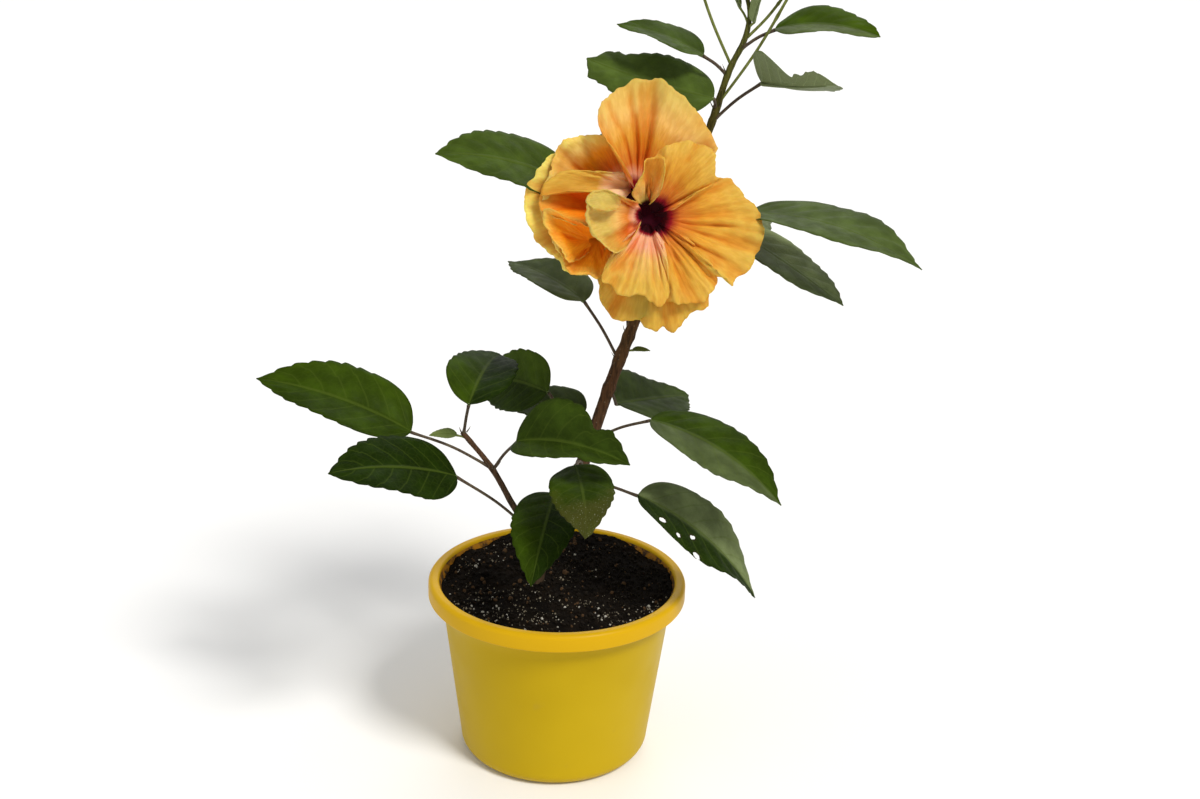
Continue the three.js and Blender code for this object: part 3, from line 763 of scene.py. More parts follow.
def build_leaf(name, index, under, stalks):
    """One leaf: its blade with arched halves, quilted between the veins, on a stalk that runs on as
    the midrib, with two stipules at the stalk's foot unless it is young."""
    stem, height, stalk, blade, (length, width), drop, looks = LEAVES[name]
    fold = math.radians(drop[1])
    foot = at_height(LINES[stem], height)
    start = foot + heading(stalk[0], stalk[1]) * stalk[2]
    young = length < YOUNG_LENGTH
    frames = leaf_frames(start, blade, drop, length)
    seed = index * 1.7
    teeth = BIG_LEAF_TEETH if length > BIG_LEAF_LENGTH else SMALL_LEAF_TEETH
    scale = length / 100
    wave = CHANCE.uniform(0.5, 1.0)
    phase = CHANCE.uniform(0, 6.28)
    upper = []
    lower = []
    for i, (centre, side, up) in enumerate(frames):
        t = i / LEAF_ROWS
        rows = ([], [])
        for j in range(-LEAF_COLUMNS, LEAF_COLUMNS + 1):
            s = j / LEAF_COLUMNS
            off = abs(s)
            half = leaf_edge(t, width, teeth, seed, 1 if s > 0 else 0)
            for nip_side, at, depth, spread in NIPS.get(name, ()):
                if nip_side * s >= 0:
                    half *= 1 - depth * bell(t - at, spread)
            out = off * half
            arch = math.sin(fold) * out * (1.25 - 0.45 * off)
            vein = t - off * (VEIN_LEAN + VEIN_CURL * off)
            step = (vein * LEAF_VEINS + (VEIN_STAGGER if s > 0 else 0)) % 1.0
            quilt = (abs(math.sin(math.pi * step)) - 0.5) * 0.9 * scale
            quilt *= math.sin(math.pi * min(off * 1.1, 1.0))
            sway = 1.7 * wave * scale * off ** 2.2 * math.sin(9.5 * t + phase + (2.2 if s > 0 else 0))
            rough = 0.8 * scale * noise.noise(Vector((s * 2.0 + seed, t * 5.0, 0.3)))
            ease = smooth_step(0.0, 0.08, t) * (1 - smooth_step(0.96, 1.0, t))
            lift = arch + (quilt + sway + rough * off) * ease
            cast = math.copysign(out * math.cos(fold * (0.9 + 0.1 * off)), s) if s else 0.0
            p = centre + side * cast + up * lift
            thick = 0.26 - 0.12 * off
            rows[0].append((p + up * thick, 0.5 + s / 2, t))
            rows[1].append((p - up * thick, 0.5 + s / 2, t))
        upper.append(rows[0])
        lower.append(rows[1])
    shape = Shape()
    shape.sheet(upper, lower, 0, 1)

    thin = PETIOLE_RADIUS * (0.62 if young else 0.85)

    def stalk_radius(along, _):
        return thin * (1 + 0.5 * bell(along, 0.10) + 0.2 * bell(1 - along, 0.09))

    def rib_radius(along, _):
        return thin * (1.2 - 0.95 * along ** 0.6)

    middle = foot.lerp(start, 0.5) + Vector((0, 0, PETIOLE_ARCH * stalk[2]))
    stalk_end = start - frames[0][2] * 0.6
    shape.tube(even_line(smooth_line([foot, middle, stalk_end], 10), 26), stalk_radius, sides=8, slot=2)
    last = int(LEAF_ROWS * 0.93)
    ribs = [frames[i][0] - frames[i][2] * rib_radius(i / last, 0) for i in range(2, last, 4)]
    shape.tube(even_line(smooth_line([stalk_end] + ribs, 6), 34), rib_radius, sides=8, slot=1)
    if not young:
        for turn in (-1, 1):
            ahead = heading(stalk[0] + STIPULE_TURN * turn, 35)
            root = foot + ahead * 2.5
            tip = root + ahead * 2.5 + Vector((0, 0, 3.2)) + heading(stalk[0], 0) * 1.5
            shape.tube(smooth_line([root, root.lerp(tip, 0.5) + ahead * 0.5, tip], 4),
                       lambda along, _: 0.42 * (1 - along) + 0.06, sides=5, slot=2)
    stalk_look = stalks["green" if young else "brown"]
    piece = shape.made(name + "_blade", [under, under, stalk_look])
    holes = eat_holes(piece, name, upper)
    other_side_painted_light = HALF_LIGHT_AND_SHADE.get(name, looks)
    worn = WORN.get(name, 0)
    upper_look = leaf_material(name + "_upper", looks, other_side_painted_light, length, width, young, worn, holes)
    piece.data.materials[0] = upper_look
    place(piece, "leaf_green", name)


def build_leaves():
    """Every leaf in its order; gives back the looks of the stalks for the buds and the bloom."""
    under = leaf_under_material()
    stalks = {
        "brown": stalk_material("stalk_brown", (0.050, 0.030, 0.020), (0.105, 0.080, 0.045)),
        "green": stalk_material("stalk_green", (0.100, 0.115, 0.018), (0.18, 0.21, 0.045)),
    }
    for index, name in enumerate(LEAVES):
        build_leaf(name, index, under, stalks)
    return stalks


# ---------------------------------------------------------------- buds
# The darker and the lighter green of the buds' and the calyx's skin.
BUD_GREENS = ((0.13, 0.19, 0.045), (0.24, 0.32, 0.09))
BUD_BRACTS = 7


def build_buds(stalks):
    """Closed buds on long stalks, each with thin bracts round its foot."""
    skin = stalk_material("bud_skin", *BUD_GREENS)
    for name, (height, bearing, rise, length, size) in BUDS.items():
        foot = at_height(main_line, height)
        start = foot + heading(bearing, rise) * length
        middle = foot.lerp(start, 0.5) - Vector((0, 0, length * 0.05))
        ahead = heading(bearing, rise + 8)
        line = even_line(smooth_line([foot, middle, start]), 24)
        shape = Shape()

        def stalk_radius(along, _):
            return 0.85 + 0.5 * bell(1 - along, 0.08) + 0.35 * bell(along - 0.72, 0.02)

        shape.tube(line, stalk_radius, 8, 0)
        long = size * 2.4

        def bud_radius(along, turn):
            swell = size / 2 * math.sin(math.pi * min(along, 1) ** 0.72) ** 0.8 * (1 - 0.35 * along)
            return 0.25 + swell * (1 + 0.07 * abs(math.cos(2.5 * turn + 2 * along)))

        bud_line = [start - ahead * 0.5 + ahead * long * i / 24 for i in range(25)]
        shape.tube(bud_line, bud_radius, 30, 1)
        across = ahead.cross(Vector((0, 0, 1))).normalized()
        other = ahead.cross(across)
        for k in range(BUD_BRACTS):
            turn = 2 * math.pi * k / BUD_BRACTS
            out = across * math.cos(turn) + other * math.sin(turn)
            root = start + out * 1.0
            tip = start + ahead * size * 0.75 + out * size * 0.85
            bow = start + ahead * size * 0.25 + out * size * 0.62
            shape.tube(smooth_line([root, bow, tip], 5), lambda along, _: 0.55 * (1 - along) + 0.1, 6, 0)
        piece = shape.made(name + "_shape", [stalks["green"], skin])
        place(piece, "bud_green", name)


# ---------------------------------------------------------------- pot and mix
def ring_shape(outline, sides, slots, where=lambda *spot: Vector(spot)):
    """An outline of (radius, height) turned about the pot's axis, or the one that where gives, into a
    closed skin."""
    shape = Shape()
    rows = []
    for radius, height in outline:
        if radius == 0:
            rows.append(shape.point(where(0, 0, height)))
            continue
        row = []
        for j in range(sides):
            turn = 2 * math.pi * j / sides
            row.append(shape.point(where(radius * math.cos(turn), radius * math.sin(turn), height)))
        rows.append(row)
    for k, (low, high) in enumerate(zip(rows, rows[1:])):
        for j in range(sides):
            m = (j + 1) % sides
            if isinstance(low, int):
                shape.face((low, high[m], high[j]), slots(k))
            elif isinstance(high, int):
                shape.face((low[j], low[m], high), slots(k))
            else:
                shape.face((low[j], low[m], high[m], high[j]), slots(k))
    return shape


def arc(centre, radius, begin, end, steps):
    """Points on an arc from one angle to another, in degrees."""
    line = []
    for i in range(steps + 1):
        turn = math.radians(begin + (end - begin) * i / steps)
        line.append((centre[0] + radius * math.cos(turn), centre[1] + radius * math.sin(turn)))
    return line


def pot_outline():
    """The pot's outline from the middle of its underside up and over the rim and down inside, and
    where on that line the inner wall starts."""
    rim_foot = POT_HEIGHT - RIM_DEPTH
    inner = POT_SHOULDER_RADIUS - POT_WALL
    outline = [(0, 0.0), (POT_FOOT_RADIUS - POT_FOOT_FILLET - 3, 0.0)]
    outline += arc((POT_FOOT_RADIUS - POT_FOOT_FILLET, POT_FOOT_FILLET), POT_FOOT_FILLET, -90, 0, 8)
    for i in range(1, 8):
        share = i / 8
        radius = POT_FOOT_RADIUS + (POT_SHOULDER_RADIUS - POT_FOOT_RADIUS) * share
        outline.append((radius, POT_FOOT_FILLET + (rim_foot - POT_FOOT_FILLET) * share))
    outline += [(POT_SHOULDER_RADIUS, rim_foot - 0.6), (POT_SHOULDER_RADIUS + 0.6, rim_foot)]
    outline += arc((RIM_RADIUS - 1.0, rim_foot + 1.0), 1.0, -90, 0, 4)
    outline += arc((RIM_RADIUS - RIM_ROUND, POT_HEIGHT - RIM_ROUND), RIM_ROUND, 0, 90, 7)
    outline += arc((RIM_INNER_RADIUS + 2, POT_HEIGHT - 2), 2.0, 90, 180, 5)
    wall = len(outline)
    outline += [(inner, rim_foot), (POT_FOOT_RADIUS - POT_WALL, POT_FOOT_FILLET)]
    outline += [(POT_FOOT_RADIUS - POT_FOOT_FILLET, POT_WALL), (0, POT_WALL)]
    return outline, wall


def cut_holes(piece, cutters, crossing=False):
    """Cuts closed shapes out of a piece and leaves a plain mesh; crossing allows for parts that run
    through each other."""
    for cutter in cutters:
        change = piece.modifiers.new("cut", "BOOLEAN")
        change.operation = "DIFFERENCE"
        change.solver = "EXACT"
        change.use_self = crossing
        change.object = cutter
    graph = bpy.context.evaluated_depsgraph_get()
    result = bpy.data.meshes.new_from_object(piece.evaluated_get(graph))
    piece.modifiers.clear()
    old = piece.data
    piece.data = result
    bpy.data.meshes.remove(old)
    for cutter in cutters:
        bpy.data.objects.remove(cutter)


def build_pot():
    """The moulded pot with its ring of drain holes."""
    outline, wall = pot_outline()
    shape = ring_shape(outline, 144, lambda k: 1 if k >= wall - 1 else 0)
    pot = shape.made("pot_shell", [pot_material(), pot_inside_material()])
    cutters = []
    for k in range(DRAIN_HOLES):
        spot = heading(360 * k / DRAIN_HOLES, 0) * DRAIN_RING_RADIUS
        outline = [(0, -3.0), (DRAIN_HOLE_RADIUS, -3.0), (DRAIN_HOLE_RADIUS, 5.0), (0, 5.0)]
        hole = ring_shape(outline, 28, lambda _: 0)
        hole.points = [p + spot for p in hole.points]
        cutters.append(hole.made("drain_cutter", []))
    cut_holes(pot, cutters)
    place(pot, "pot_plastic", "pot")


def mix_level(x, y):
    """The height of the potting mix: banked up towards the back, lumpy all over, and sunken
    beside the wall in two places at the back."""
    reach = math.hypot(x, y) / RIM_INNER_RADIUS
    level = MIX_CROWN_LEVEL + (MIX_EDGE_LEVEL - MIX_CROWN_LEVEL) * reach ** 2 + MIX_TILT * y
    for sunk_x, sunk_y, spread in MIX_HOLLOWS:
        level -= 3.2 * math.exp(-((x - sunk_x) ** 2 + (y - sunk_y) ** 2) / spread ** 2)
    lump = 1.2 * noise.noise(Vector((x * 0.05, y * 0.05, 0.7)))
    crumb = 1.3 * noise.noise(Vector((x * 0.22, y * 0.22, 4.2)))
    crumb += 0.7 * noise.noise(Vector((x * 0.6, y * 0.6, 9.1)))
    return level + lump + crumb - GAP


MIX_RINGS = 62
NOT_YET_LEVEL = -1.0


def build_mix():
    """The fill of the pot; its top starts as flat rings, which are then lifted to their level."""
    inner = POT_SHOULDER_RADIUS - POT_WALL
    outline = [(0, POT_WALL + GAP), (POT_FOOT_RADIUS - POT_FOOT_FILLET - GAP, POT_WALL + GAP)]
    outline += [(POT_FOOT_RADIUS - POT_WALL - GAP, POT_FOOT_FILLET), (inner - GAP, POT_HEIGHT - RIM_DEPTH)]
    edge = RIM_INNER_RADIUS - 0.8
    slope = (RIM_INNER_RADIUS - inner) / (RIM_DEPTH - 2)
    outline += [(edge * (1 - i / MIX_RINGS), NOT_YET_LEVEL) for i in range(MIX_RINGS)] + [(0, NOT_YET_LEVEL)]
    shape = ring_shape(outline, 220, lambda _: 0)
    for k, p in enumerate(shape.points):
        if p.z == NOT_YET_LEVEL:
            level = mix_level(p.x, p.y)
            wall = inner + slope * min(level - (POT_HEIGHT - RIM_DEPTH), RIM_DEPTH - 2) - GAP
            shrink = min(1.0, wall / max(math.hypot(p.x, p.y), 1e-6))
            shape.points[k] = Vector((p.x * shrink, p.y * shrink, level))
    mix = shape.made("mix_body", [mix_material()])
    place(mix, "potting_mix", "potting_mix")


def ball_frame():
    """The twelve corners of a ball of twenty triangles, and the triangles, wound outwards."""
    golden = (1 + 5 ** 0.5) / 2
    corners = []
    for a, b in ((1, golden), (1, -golden), (-1, golden), (-1, -golden)):
        corners += [Vector((0, a, b)), Vector((a, b, 0)), Vector((b, 0, a))]
    triangles = []
    for i, j, k in itertools.combinations(range(12), 3):
        p, q, r = corners[i], corners[j], corners[k]
        if all(abs((a - b).length - 2) < 0.01 for a, b in ((p, q), (q, r), (p, r))):
            outward = (q - p).cross(r - p).dot(p + q + r) > 0
            triangles.append((i, j, k) if outward else (i, k, j))
    return corners, triangles


BALL_CORNERS, BALL_TRIANGLES = ball_frame()


def lump(shape, centre, size, squash, seed):
    """A small angular crumb: a ball with each corner pushed in or out."""
    turn = Euler((seed * 2.1, seed * 3.7, seed * 5.3)).to_matrix()
    numbers = []
    for k, corner in enumerate(BALL_CORNERS):
        push = 1 + 0.35 * noise.noise(corner * 0.8 + Vector((seed * 9.7, seed * 4.1, k * 0.01)))
        p = corner.normalized() * (size * push)
        p = turn @ Vector((p.x, p.y * squash, p.z * (0.6 + 0.4 * squash)))
        numbers.append(shape.point(centre + p))
    for triangle in BALL_TRIANGLES:
        shape.face([numbers[c] for c in triangle])


# Each kind of crumb: its look, how many, smallest and largest size, flatness, darkest and lightest
# colour, and how strongly it keeps to drifts at the front and the left.
CRUMBS = {
    "mix_crumbs": ("crumb_dark", 1900, (0.6, 1.6), 0.5, (0.003, 0.0022, 0.0015), (0.016, 0.011, 0.007), 0),
    "mix_bark_bits": ("crumb_bark", 170, (0.8, 1.9), 0.35, (0.035, 0.020, 0.010), (0.12, 0.065, 0.03), 0),
    "mix_grit": ("crumb_grit", 520, (0.35, 0.75), 0.6, (0.10, 0.085, 0.060), (0.30, 0.26, 0.19), 1.5),
    "mix_perlite": ("crumb_perlite", 85, (0.5, 1.1), 0.7, (0.30, 0.28, 0.24), (0.60, 0.57, 0.50), 1.5),
}


def build_crumbs():
    """Crumbs strewn over the mix."""
    reach = RIM_INNER_RADIUS - 2.5
    for name, (look, count, sizes, squash, low, high, front) in CRUMBS.items():
        chance = random.Random(name)
        material = crumb_material(look, low, high)
        shape = Shape()
        made = 0
        while made < count:
            x = chance.uniform(-reach, reach)
            y = chance.uniform(-reach, reach)
            size = chance.uniform(*sizes) * (0.6 + 0.8 * chance.random() ** 2)
            patchy = noise.noise(Vector((x * 0.06, y * 0.06, 3.3)))
            drift = 0.35 * (y / reach + 1) + 0.2 * (x / reach + 1) - 0.7 * patchy
            if math.hypot(x, y) > reach - size or chance.random() < front * drift:
                continue
            spot = Vector((x, y, mix_level(x, y) + size * 0.25))
            lump(shape, spot, size, chance.uniform(squash, 1.0), chance.random() * 7)
            made += 1
        place(shape.made(name, [material], smooth=False), "potting_mix")


# ---------------------------------------------------------------- bloom
ACROSS = (Vector((1, 0, 0)) - BLOOM_FACING * BLOOM_FACING.x).normalized()
UPWARD = BLOOM_FACING.cross(ACROSS)
if UPWARD.z < 0:
    UPWARD = -UPWARD


def in_bloom(x, y, z):
    """A place in the bloom's own frame: x to the right, y up its face and z towards the front."""
    return BLOOM_CENTRE + ACROSS * x + UPWARD * y + BLOOM_FACING * z


# The petals' tones.
MAROON = (0.022, 0.0004, 0.003)
CRIMSON = (0.30, 0.008, 0.020)
PINK = (0.90, 0.42, 0.26)
# The lighter pink is pink painted lighter, as painted light, for the band, which lies in shade.
LIT_PINK = (1.0, 0.62, 0.36)
RED_ORANGE = (0.74, 0.22, 0.030)
ORANGE = (0.72, 0.33, 0.034)
GOLD = (0.70, 0.40, 0.058)
YELLOW = (0.70, 0.47, 0.092)
# The lighter yellow is yellow painted lighter, as painted light, for the left petals' margins, which turn away
# from the lamps.
LIT_YELLOW = (0.95, 0.74, 0.170)
PEACH = (0.80, 0.45, 0.125)
# The two deep oranges below are the petals' own deep orange, painted brighter as a painted glow of light
# through the thin cupped petals and against the shade in the pockets.
DEEP_ORANGE = (0.97, 0.34, 0.011)
GLOW_ORANGE = (0.98, 0.21, 0.003)
# Olive gold is gold in painted shade on the margins of the back petals and the band; the petals' backs also
# start from it.
OLIVE_GOLD = (0.54, 0.36, 0.050)
PALE_GOLD = (0.62, 0.44, 0.10)

# The bloom has a main throat low and right of its middle and a small second one above and left.
THROAT = (5.5, -5, -12)
SECOND_THROAT = (-6, 10, -10)
REACH_SPAN = 80

# How each kind of petal is coloured: the throat it is measured from, the colour its margin passes
# to and how strong that is, and the colours at so many millimetres from the throat.
PETAL_LOOKS = {
    "right": (THROAT, YELLOW, 0.55, [
        (0, MAROON), (9, MAROON), (12, CRIMSON), (17, RED_ORANGE), (30, ORANGE), (50, GOLD), (72, GOLD)]),
    "front": (THROAT, YELLOW, 0.35, [
        (0, MAROON), (10, MAROON), (12, CRIMSON), (14, PINK), (22, PINK), (30, PEACH), (44, GOLD),
        (60, GOLD)]),
    "fold": (THROAT, YELLOW, 0.3, [
        (0, MAROON), (10, MAROON), (13, CRIMSON), (18, RED_ORANGE), (34, ORANGE), (54, GOLD), (72, GOLD)]),
    # The back petals' margins pass to olive gold, painted shade where the front petals shade them.
    "back": (THROAT, OLIVE_GOLD, 0.8, [
        (0, MAROON), (11, MAROON), (18, RED_ORANGE), (40, GOLD), (70, GOLD)]),
    "top": (SECOND_THROAT, YELLOW, 0.25, [
        (0, CRIMSON), (5, CRIMSON), (9, PINK), (15, RED_ORANGE), (30, ORANGE), (42, PEACH),
        (64, PALE_GOLD)]),
    # The left and rim petals' margins pass to the lighter yellow: painted light on their own yellow edges.
    "left": (SECOND_THROAT, LIT_YELLOW, 0.7, [
        (0, CRIMSON), (6, PINK), (14, PINK), (18, RED_ORANGE), (28, DEEP_ORANGE), (38, PEACH),
        (70, PEACH)]),
    "rim": (SECOND_THROAT, LIT_YELLOW, 0.9, [
        (0, CRIMSON), (16, RED_ORANGE), (30, DEEP_ORANGE), (48, ORANGE), (58, GOLD), (72, GOLD)]),
    # The band's margin passes to olive gold as painted shade, and its pink is lightened as painted light.
    "band": (SECOND_THROAT, OLIVE_GOLD, 0.5, [
        (0, CRIMSON), (5, LIT_PINK), (15, LIT_PINK), (22, GOLD), (60, GOLD)]),
    # The pockets' oranges are painted bright, as painted light glowing through the cupped petals.
    "pocket": (SECOND_THROAT, YELLOW, 0.9, [
        (0, DEEP_ORANGE), (30, GLOW_ORANGE), (50, DEEP_ORANGE), (70, ORANGE)]),
    "petaloid": (THROAT, PALE_GOLD, 0.8, [
        (0, MAROON), (9, MAROON), (11, CRIMSON), (14, PINK), (19, RED_ORANGE), (28, PEACH),
        (35, PALE_GOLD), (60, PALE_GOLD)]),
    "curl": (THROAT, YELLOW, 0.5, [
        (0, MAROON), (10, MAROON), (13, PALE_GOLD), (22, PEACH), (32, GOLD), (50, GOLD)]),
    "reverse": (THROAT, YELLOW, 0.5, [
        (0, OLIVE_GOLD), (14, PALE_GOLD), (30, GOLD), (50, ORANGE), (72, GOLD)]),
}

# Each petal is a fan of rays from its base to a margin, all in the bloom's frame (x right, y up,
# z forward). A flare above 1 lets the petal rise fast and then spread; a flare below 1 cups it.
# Pleats are (how many, how deep), creases (place across, width, depth); a roll turns the margin
# over and a ruffle waves it.
PETALS = {
    "left_outer": dict(
        look="rim", base=(-7, 4, -21), flare=0.8, pleats=(4, 1.0), ruffle=1.4, roll=1.2,
        creases=[],
        margin=[
            (-30, 36, -14), (-44, 33, -12), (-53, 28, -10), (-56, 26, -9), (-60, 20, -8), (-62, 16, -7),
            (-67, 9, -6), (-68, -1, -5), (-66.5, -10, -5), (-61, -20, -6), (-54.5, -27, -7),
            (-48, -31.5, -8), (-45, -38, -8), (-41, -40, -8), (-34, -40, -9), (-25, -40, -11),
            (-18, -34, -13), (-8, -26, -17)]),
    "left": dict(
        look="left", base=(-7, 5, -20), flare=0.75, pleats=(3.5, 1.4), ruffle=1.6, roll=1.5,
        creases=[(0.42, 0.02, 4)],
        margin=[
            (2, 26, -15), (-10, 36, -14), (-20, 40, -11), (-28, 41, -9), (-36.5, 40, -7), (-43, 38, -4),
            (-49, 33, -3), (-52, 27, -4), (-54, 20, -2), (-57, 12, -1), (-58.5, 4, -1), (-58, -6, -2),
            (-55, -15, -3), (-50, -24, -4), (-42, -32, -6), (-32, -36, -9), (-20, -30, -14)]),
    "low": dict(
        look="back", base=(4, -8, -17), flare=2.0, pleats=(3, 1.6), ruffle=1.4, roll=0,
        creases=[],
        margin=[
            (14, -45, -10), (8, -60, -9), (-2, -65, -8), (-12, -65, -8), (-18, -60, -8),
            (-22.5, -53, -8), (-23.5, -44, -8), (-24, -30, -10), (-14, -16, -14)]),
    "low_right": dict(
        look="back", base=(8, -8, -16), flare=2.0, pleats=(4, 1.8), ruffle=1.4, roll=0,
        creases=[],
        margin=[
            (28, -14, -9), (38, -28, -6), (41.5, -43, -5), (40, -50, -5), (38, -57, -4),
            (32, -57.5, -5), (26, -64, -5), (19, -71, -3), (14, -68, -6), (9.5, -71, -7),
            (4, -68.5, -7), (0, -64, -8), (-6, -50, -11), (-4, -24, -14)]),
    "top": dict(
        look="top", base=(-3, 6, -14), flare=2.2, pleats=(3.5, 1.9), ruffle=1.2, roll=0,
        creases=[(0.385, 0.016, 6), (0.43, 0.014, 4), (0.465, 0.018, 7), (0.30, 0.015, 3)],
        margin=[
            (-8, 16, 3), (-17, 29, 9), (-24, 37, 11), (-27.5, 45.5, 10), (-26, 54, 7), (-20, 61, 4),
            (-12, 66.5, 1), (-6, 70.5, 0), (0, 69.5, 1), (7, 70.5, 0), (15, 66, 1), (22, 61, 0),
            (26, 57, -1), (33, 49, 0), (37, 43, 0), (41, 33, -1), (38, 28, -2), (34, 20, -4),
            (22, 9, -8), (10, 3, -12)]),
    "right": dict(
        look="right", base=(7, -6, -15), flare=2.3, pleats=(7, 1.9), ruffle=1.8, roll=0,
        creases=[(0.45, 0.012, 3), (0.62, 0.012, 3), (0.76, 0.012, 4)],
        margin=[
            (14, 10, -8), (28, 16, -3), (39, 17, 0), (48, 17, 1), (56, 9, 1), (63, 2, 0), (67, -6, 0),
            (67.5, -19, -1), (64, -29, -1), (60, -35, 0), (54, -39, 1), (52, -44, 3), (48, -39.5, 2),
            (43, -39, 1), (34, -38, -3), (22, -32, -6), (12, -22, -10)]),
    "upper_right": dict(
        look="right", base=(6, -4, -14), flare=2.2, pleats=(3, 1.8), ruffle=1.2, roll=0,
        creases=[],
        margin=[
            (2, 8, -4), (4, 24, 4), (9, 32, 7), (21, 35.5, 8), (32, 34.5, 7), (38, 31, 6),
            (38.5, 25, 6), (39.5, 19, 5), (41, 15.5, 3), (30, 8, 1), (18, -1, -4)]),
    "front_right": dict(
        look="fold", base=(8, -8, -14), flare=2.2, pleats=(5, 1.9), ruffle=1.3, roll=0,
        creases=[(0.30, 0.014, 4), (0.70, 0.014, 4)],
        margin=[
            (4, -24, -8), (8, -42, -2), (12, -52, 2), (22, -54, 4), (30, -53.5, 4), (36, -52, 3),
            (40, -46, 2), (43, -40, 1), (38, -30, 0), (26, -17, -3)]),
    "front_low": dict(
        look="front", base=(4, -8, -14), flare=2.4, pleats=(4.5, 1.8), ruffle=1.5, roll=0,
        creases=[(0.30, 0.03, 3), (0.68, 0.025, 3)],
        margin=[
            (-9, -17, 1), (-17, -27, 4), (-21.5, -36, 5), (-22, -44, 6), (-16, -46, 7), (-13, -50, 7),
            (-8, -51, 7), (-1, -49.5, 7), (5, -53, 8), (11, -55.5, 7), (15, -50, 6), (15, -36, 3),
            (13, -20, -3)]),
    "pocket_high": dict(
        look="pocket", base=(-18, 0, -14), flare=1.1, pleats=(2, 0.8), ruffle=0.8, roll=0,
        creases=[],
        margin=[
            (-24, 12, -3), (-40, 14, -1), (-52, 12, 0), (-58, 4, 1), (-58, -4, 2), (-55, -6, 4),
            (-44, -10, 4), (-30, -13, 1), (-20, -12, -6)]),
    "pocket_wall": dict(
        look="pocket", base=(-28, -20, -8), flare=0.9, pleats=(3, 0.9), ruffle=1.2, roll=1.2,
        creases=[],
        margin=[
            (-24, -12, 2), (-30, -11, 7), (-38, -9.5, 10), (-46, -7, 10), (-52, -4, 9), (-56, -4, 7),
            (-57, -9, 5), (-54, -15, 5), (-50, -21, 5), (-46, -27, 5), (-42, -33, 4), (-37, -32, -2),
            (-30, -28, -6)]),
    "pocket_low": dict(
        look="pocket", base=(-24, -18, -13), flare=1.0, pleats=(2, 0.8), ruffle=1.2, roll=1.2,
        creases=[],
        margin=[
            (-40, -14, -8), (-48, -24, -4), (-46, -31, -1), (-42, -38, 1), (-36, -40.5, 1),
            (-30, -41, 1), (-25, -43, 0), (-20, -38, -2), (-16, -28, -7)]),
    "band": dict(
        look="band", base=(-5, 10, -12), flare=1.8, pleats=(1.5, 1.0), ruffle=1.0, roll=0.8,
        creases=[],
        margin=[
            (-12, 19, -3), (-25, 19, 2), (-38, 19, 3), (-50, 16, 3), (-57, 10, 3), (-58, 4, 4),
            (-52, 5, 6), (-44, 6.5, 6.5), (-31, 6, 6.5), (-22, 4, 4), (-11, 3, -4)]),
    "petaloid": dict(
        look="petaloid", base=(1, -4, -9), flare=1.4, pleats=(1.5, 1.6), ruffle=1.4, roll=2.2,
        creases=[(0.23, 0.03, 3), (0.69, 0.08, 11)],
        margin=[
            (-4, 3, 2), (-12, 4, 10), (-19, 6, 15), (-26, 6.5, 17), (-31, 4, 19), (-34, -1, 19),
            (-34.5, -8, 17), (-33, -15, 16), (-30, -20.5, 16), (-24, -23, 15), (-18, -28, 15),
            (-11, -26, 12), (-5, -18, 6), (-2, -11, -2)]),
    "petaloid_roll": dict(
        look="petaloid", base=(-13, -1, 9), flare=2.2, pleats=(1, 0.6), ruffle=0.8, roll=1.5,
        creases=[],
        margin=[
            (-14, 3, 13), (-19, 6.5, 17), (-26, 7.5, 19), (-31, 5, 21), (-33, 0, 21), (-30, -4, 21),
            (-24, -5.5, 20), (-18, -4.5, 16)]),
    "curl": dict(
        look="curl", base=(2, 0, -10), flare=1.6, pleats=(1.5, 1.4), ruffle=1.2, roll=1.8,
        creases=[(0.42, 0.10, 5)],
        margin=[
            (-5, 3, 1), (-8, 7, 5), (-6, 13, 9), (-2, 19, 12), (-1, 26, 13), (8, 29, 13),
            (11.5, 24, 12), (10.5, 14, 10), (9, 7, 6), (5, 2, -1)]),
}
PETAL_THICKNESS = 0.36
BLOOM_GROUPS = {
    "outer": ("left_outer", "left", "low", "low_right", "top", "right", "upper_right"),
    "inner": ("front_right", "front_low", "band", "pocket_high", "pocket_wall", "pocket_low"),
    "heart": ("petaloid", "petaloid_roll", "curl"),
}


def petal_material(name, look):
    """Petal skin, coloured by the distance from a throat, with fine rays and its own tone at the
    margin; the fold valleys are painted deeper orange and darker as painted shade, and the margin's tone
    shows less in them."""
    throat, margin, strength, stops = look
    paint = Paint(name, 0.62, 0.12)
    ray_where, _, v = paint.lay((22.0, 2.4, 1))
    broad_where, _, _ = paint.lay((6.0, 2.2, 1))
    reach = paint.math("DIVIDE", paint.away(in_bloom(*throat)), REACH_SPAN * MM)
    ray = paint.noise(ray_where, 3.0, 3.0)
    broad = paint.noise(broad_where, 2.4, 3.0, 0.6, 0.3)
    near = paint.span(reach, 0.1, 0.5, 0.06, 0.20)
    shift = paint.times(paint.less(paint.mean(ray, broad), 0.5), near)
    stops = [(at / REACH_SPAN, colour) for at, colour in stops]
    tone = paint.ramp(paint.math("ADD", reach, shift, True), stops)
    fold = paint.fold()
    # Painted shade: the fold valleys darker and deeper orange.
    valley_painted_shade = paint.mix(1.0, tone, (0.90, 0.62, 0.30), "MULTIPLY")
    tone = paint.mix(paint.times(paint.span(fold, 0.0, 0.55, 1.0, 0.0), 0.8), tone, valley_painted_shade)
    rim = paint.times(paint.span(v, 0.66, 1.0), strength)
    tone = paint.mix(paint.times(rim, paint.span(fold, 0.1, 0.8, 0.45, 1.0)), tone, margin)
    vein = paint.span(ray, 0.40, 0.62)
    shade = paint.mix(vein, (0.88, 0.80, 0.66), (1.05, 1.06, 1.08))
    paint.colour(paint.mix(0.5, tone, shade, "MULTIPLY"))
    paint.shader.inputs["Subsurface Weight"].default_value = 0.35
    paint.shader.inputs["Subsurface Radius"].default_value = (1.0, 0.42, 0.10)
    paint.shader.inputs["Subsurface Scale"].default_value = 2.5 * MM
    paint.bump(paint.plus(paint.times(broad, 0.6), ray), 0.30, 0.6)
    return paint.material


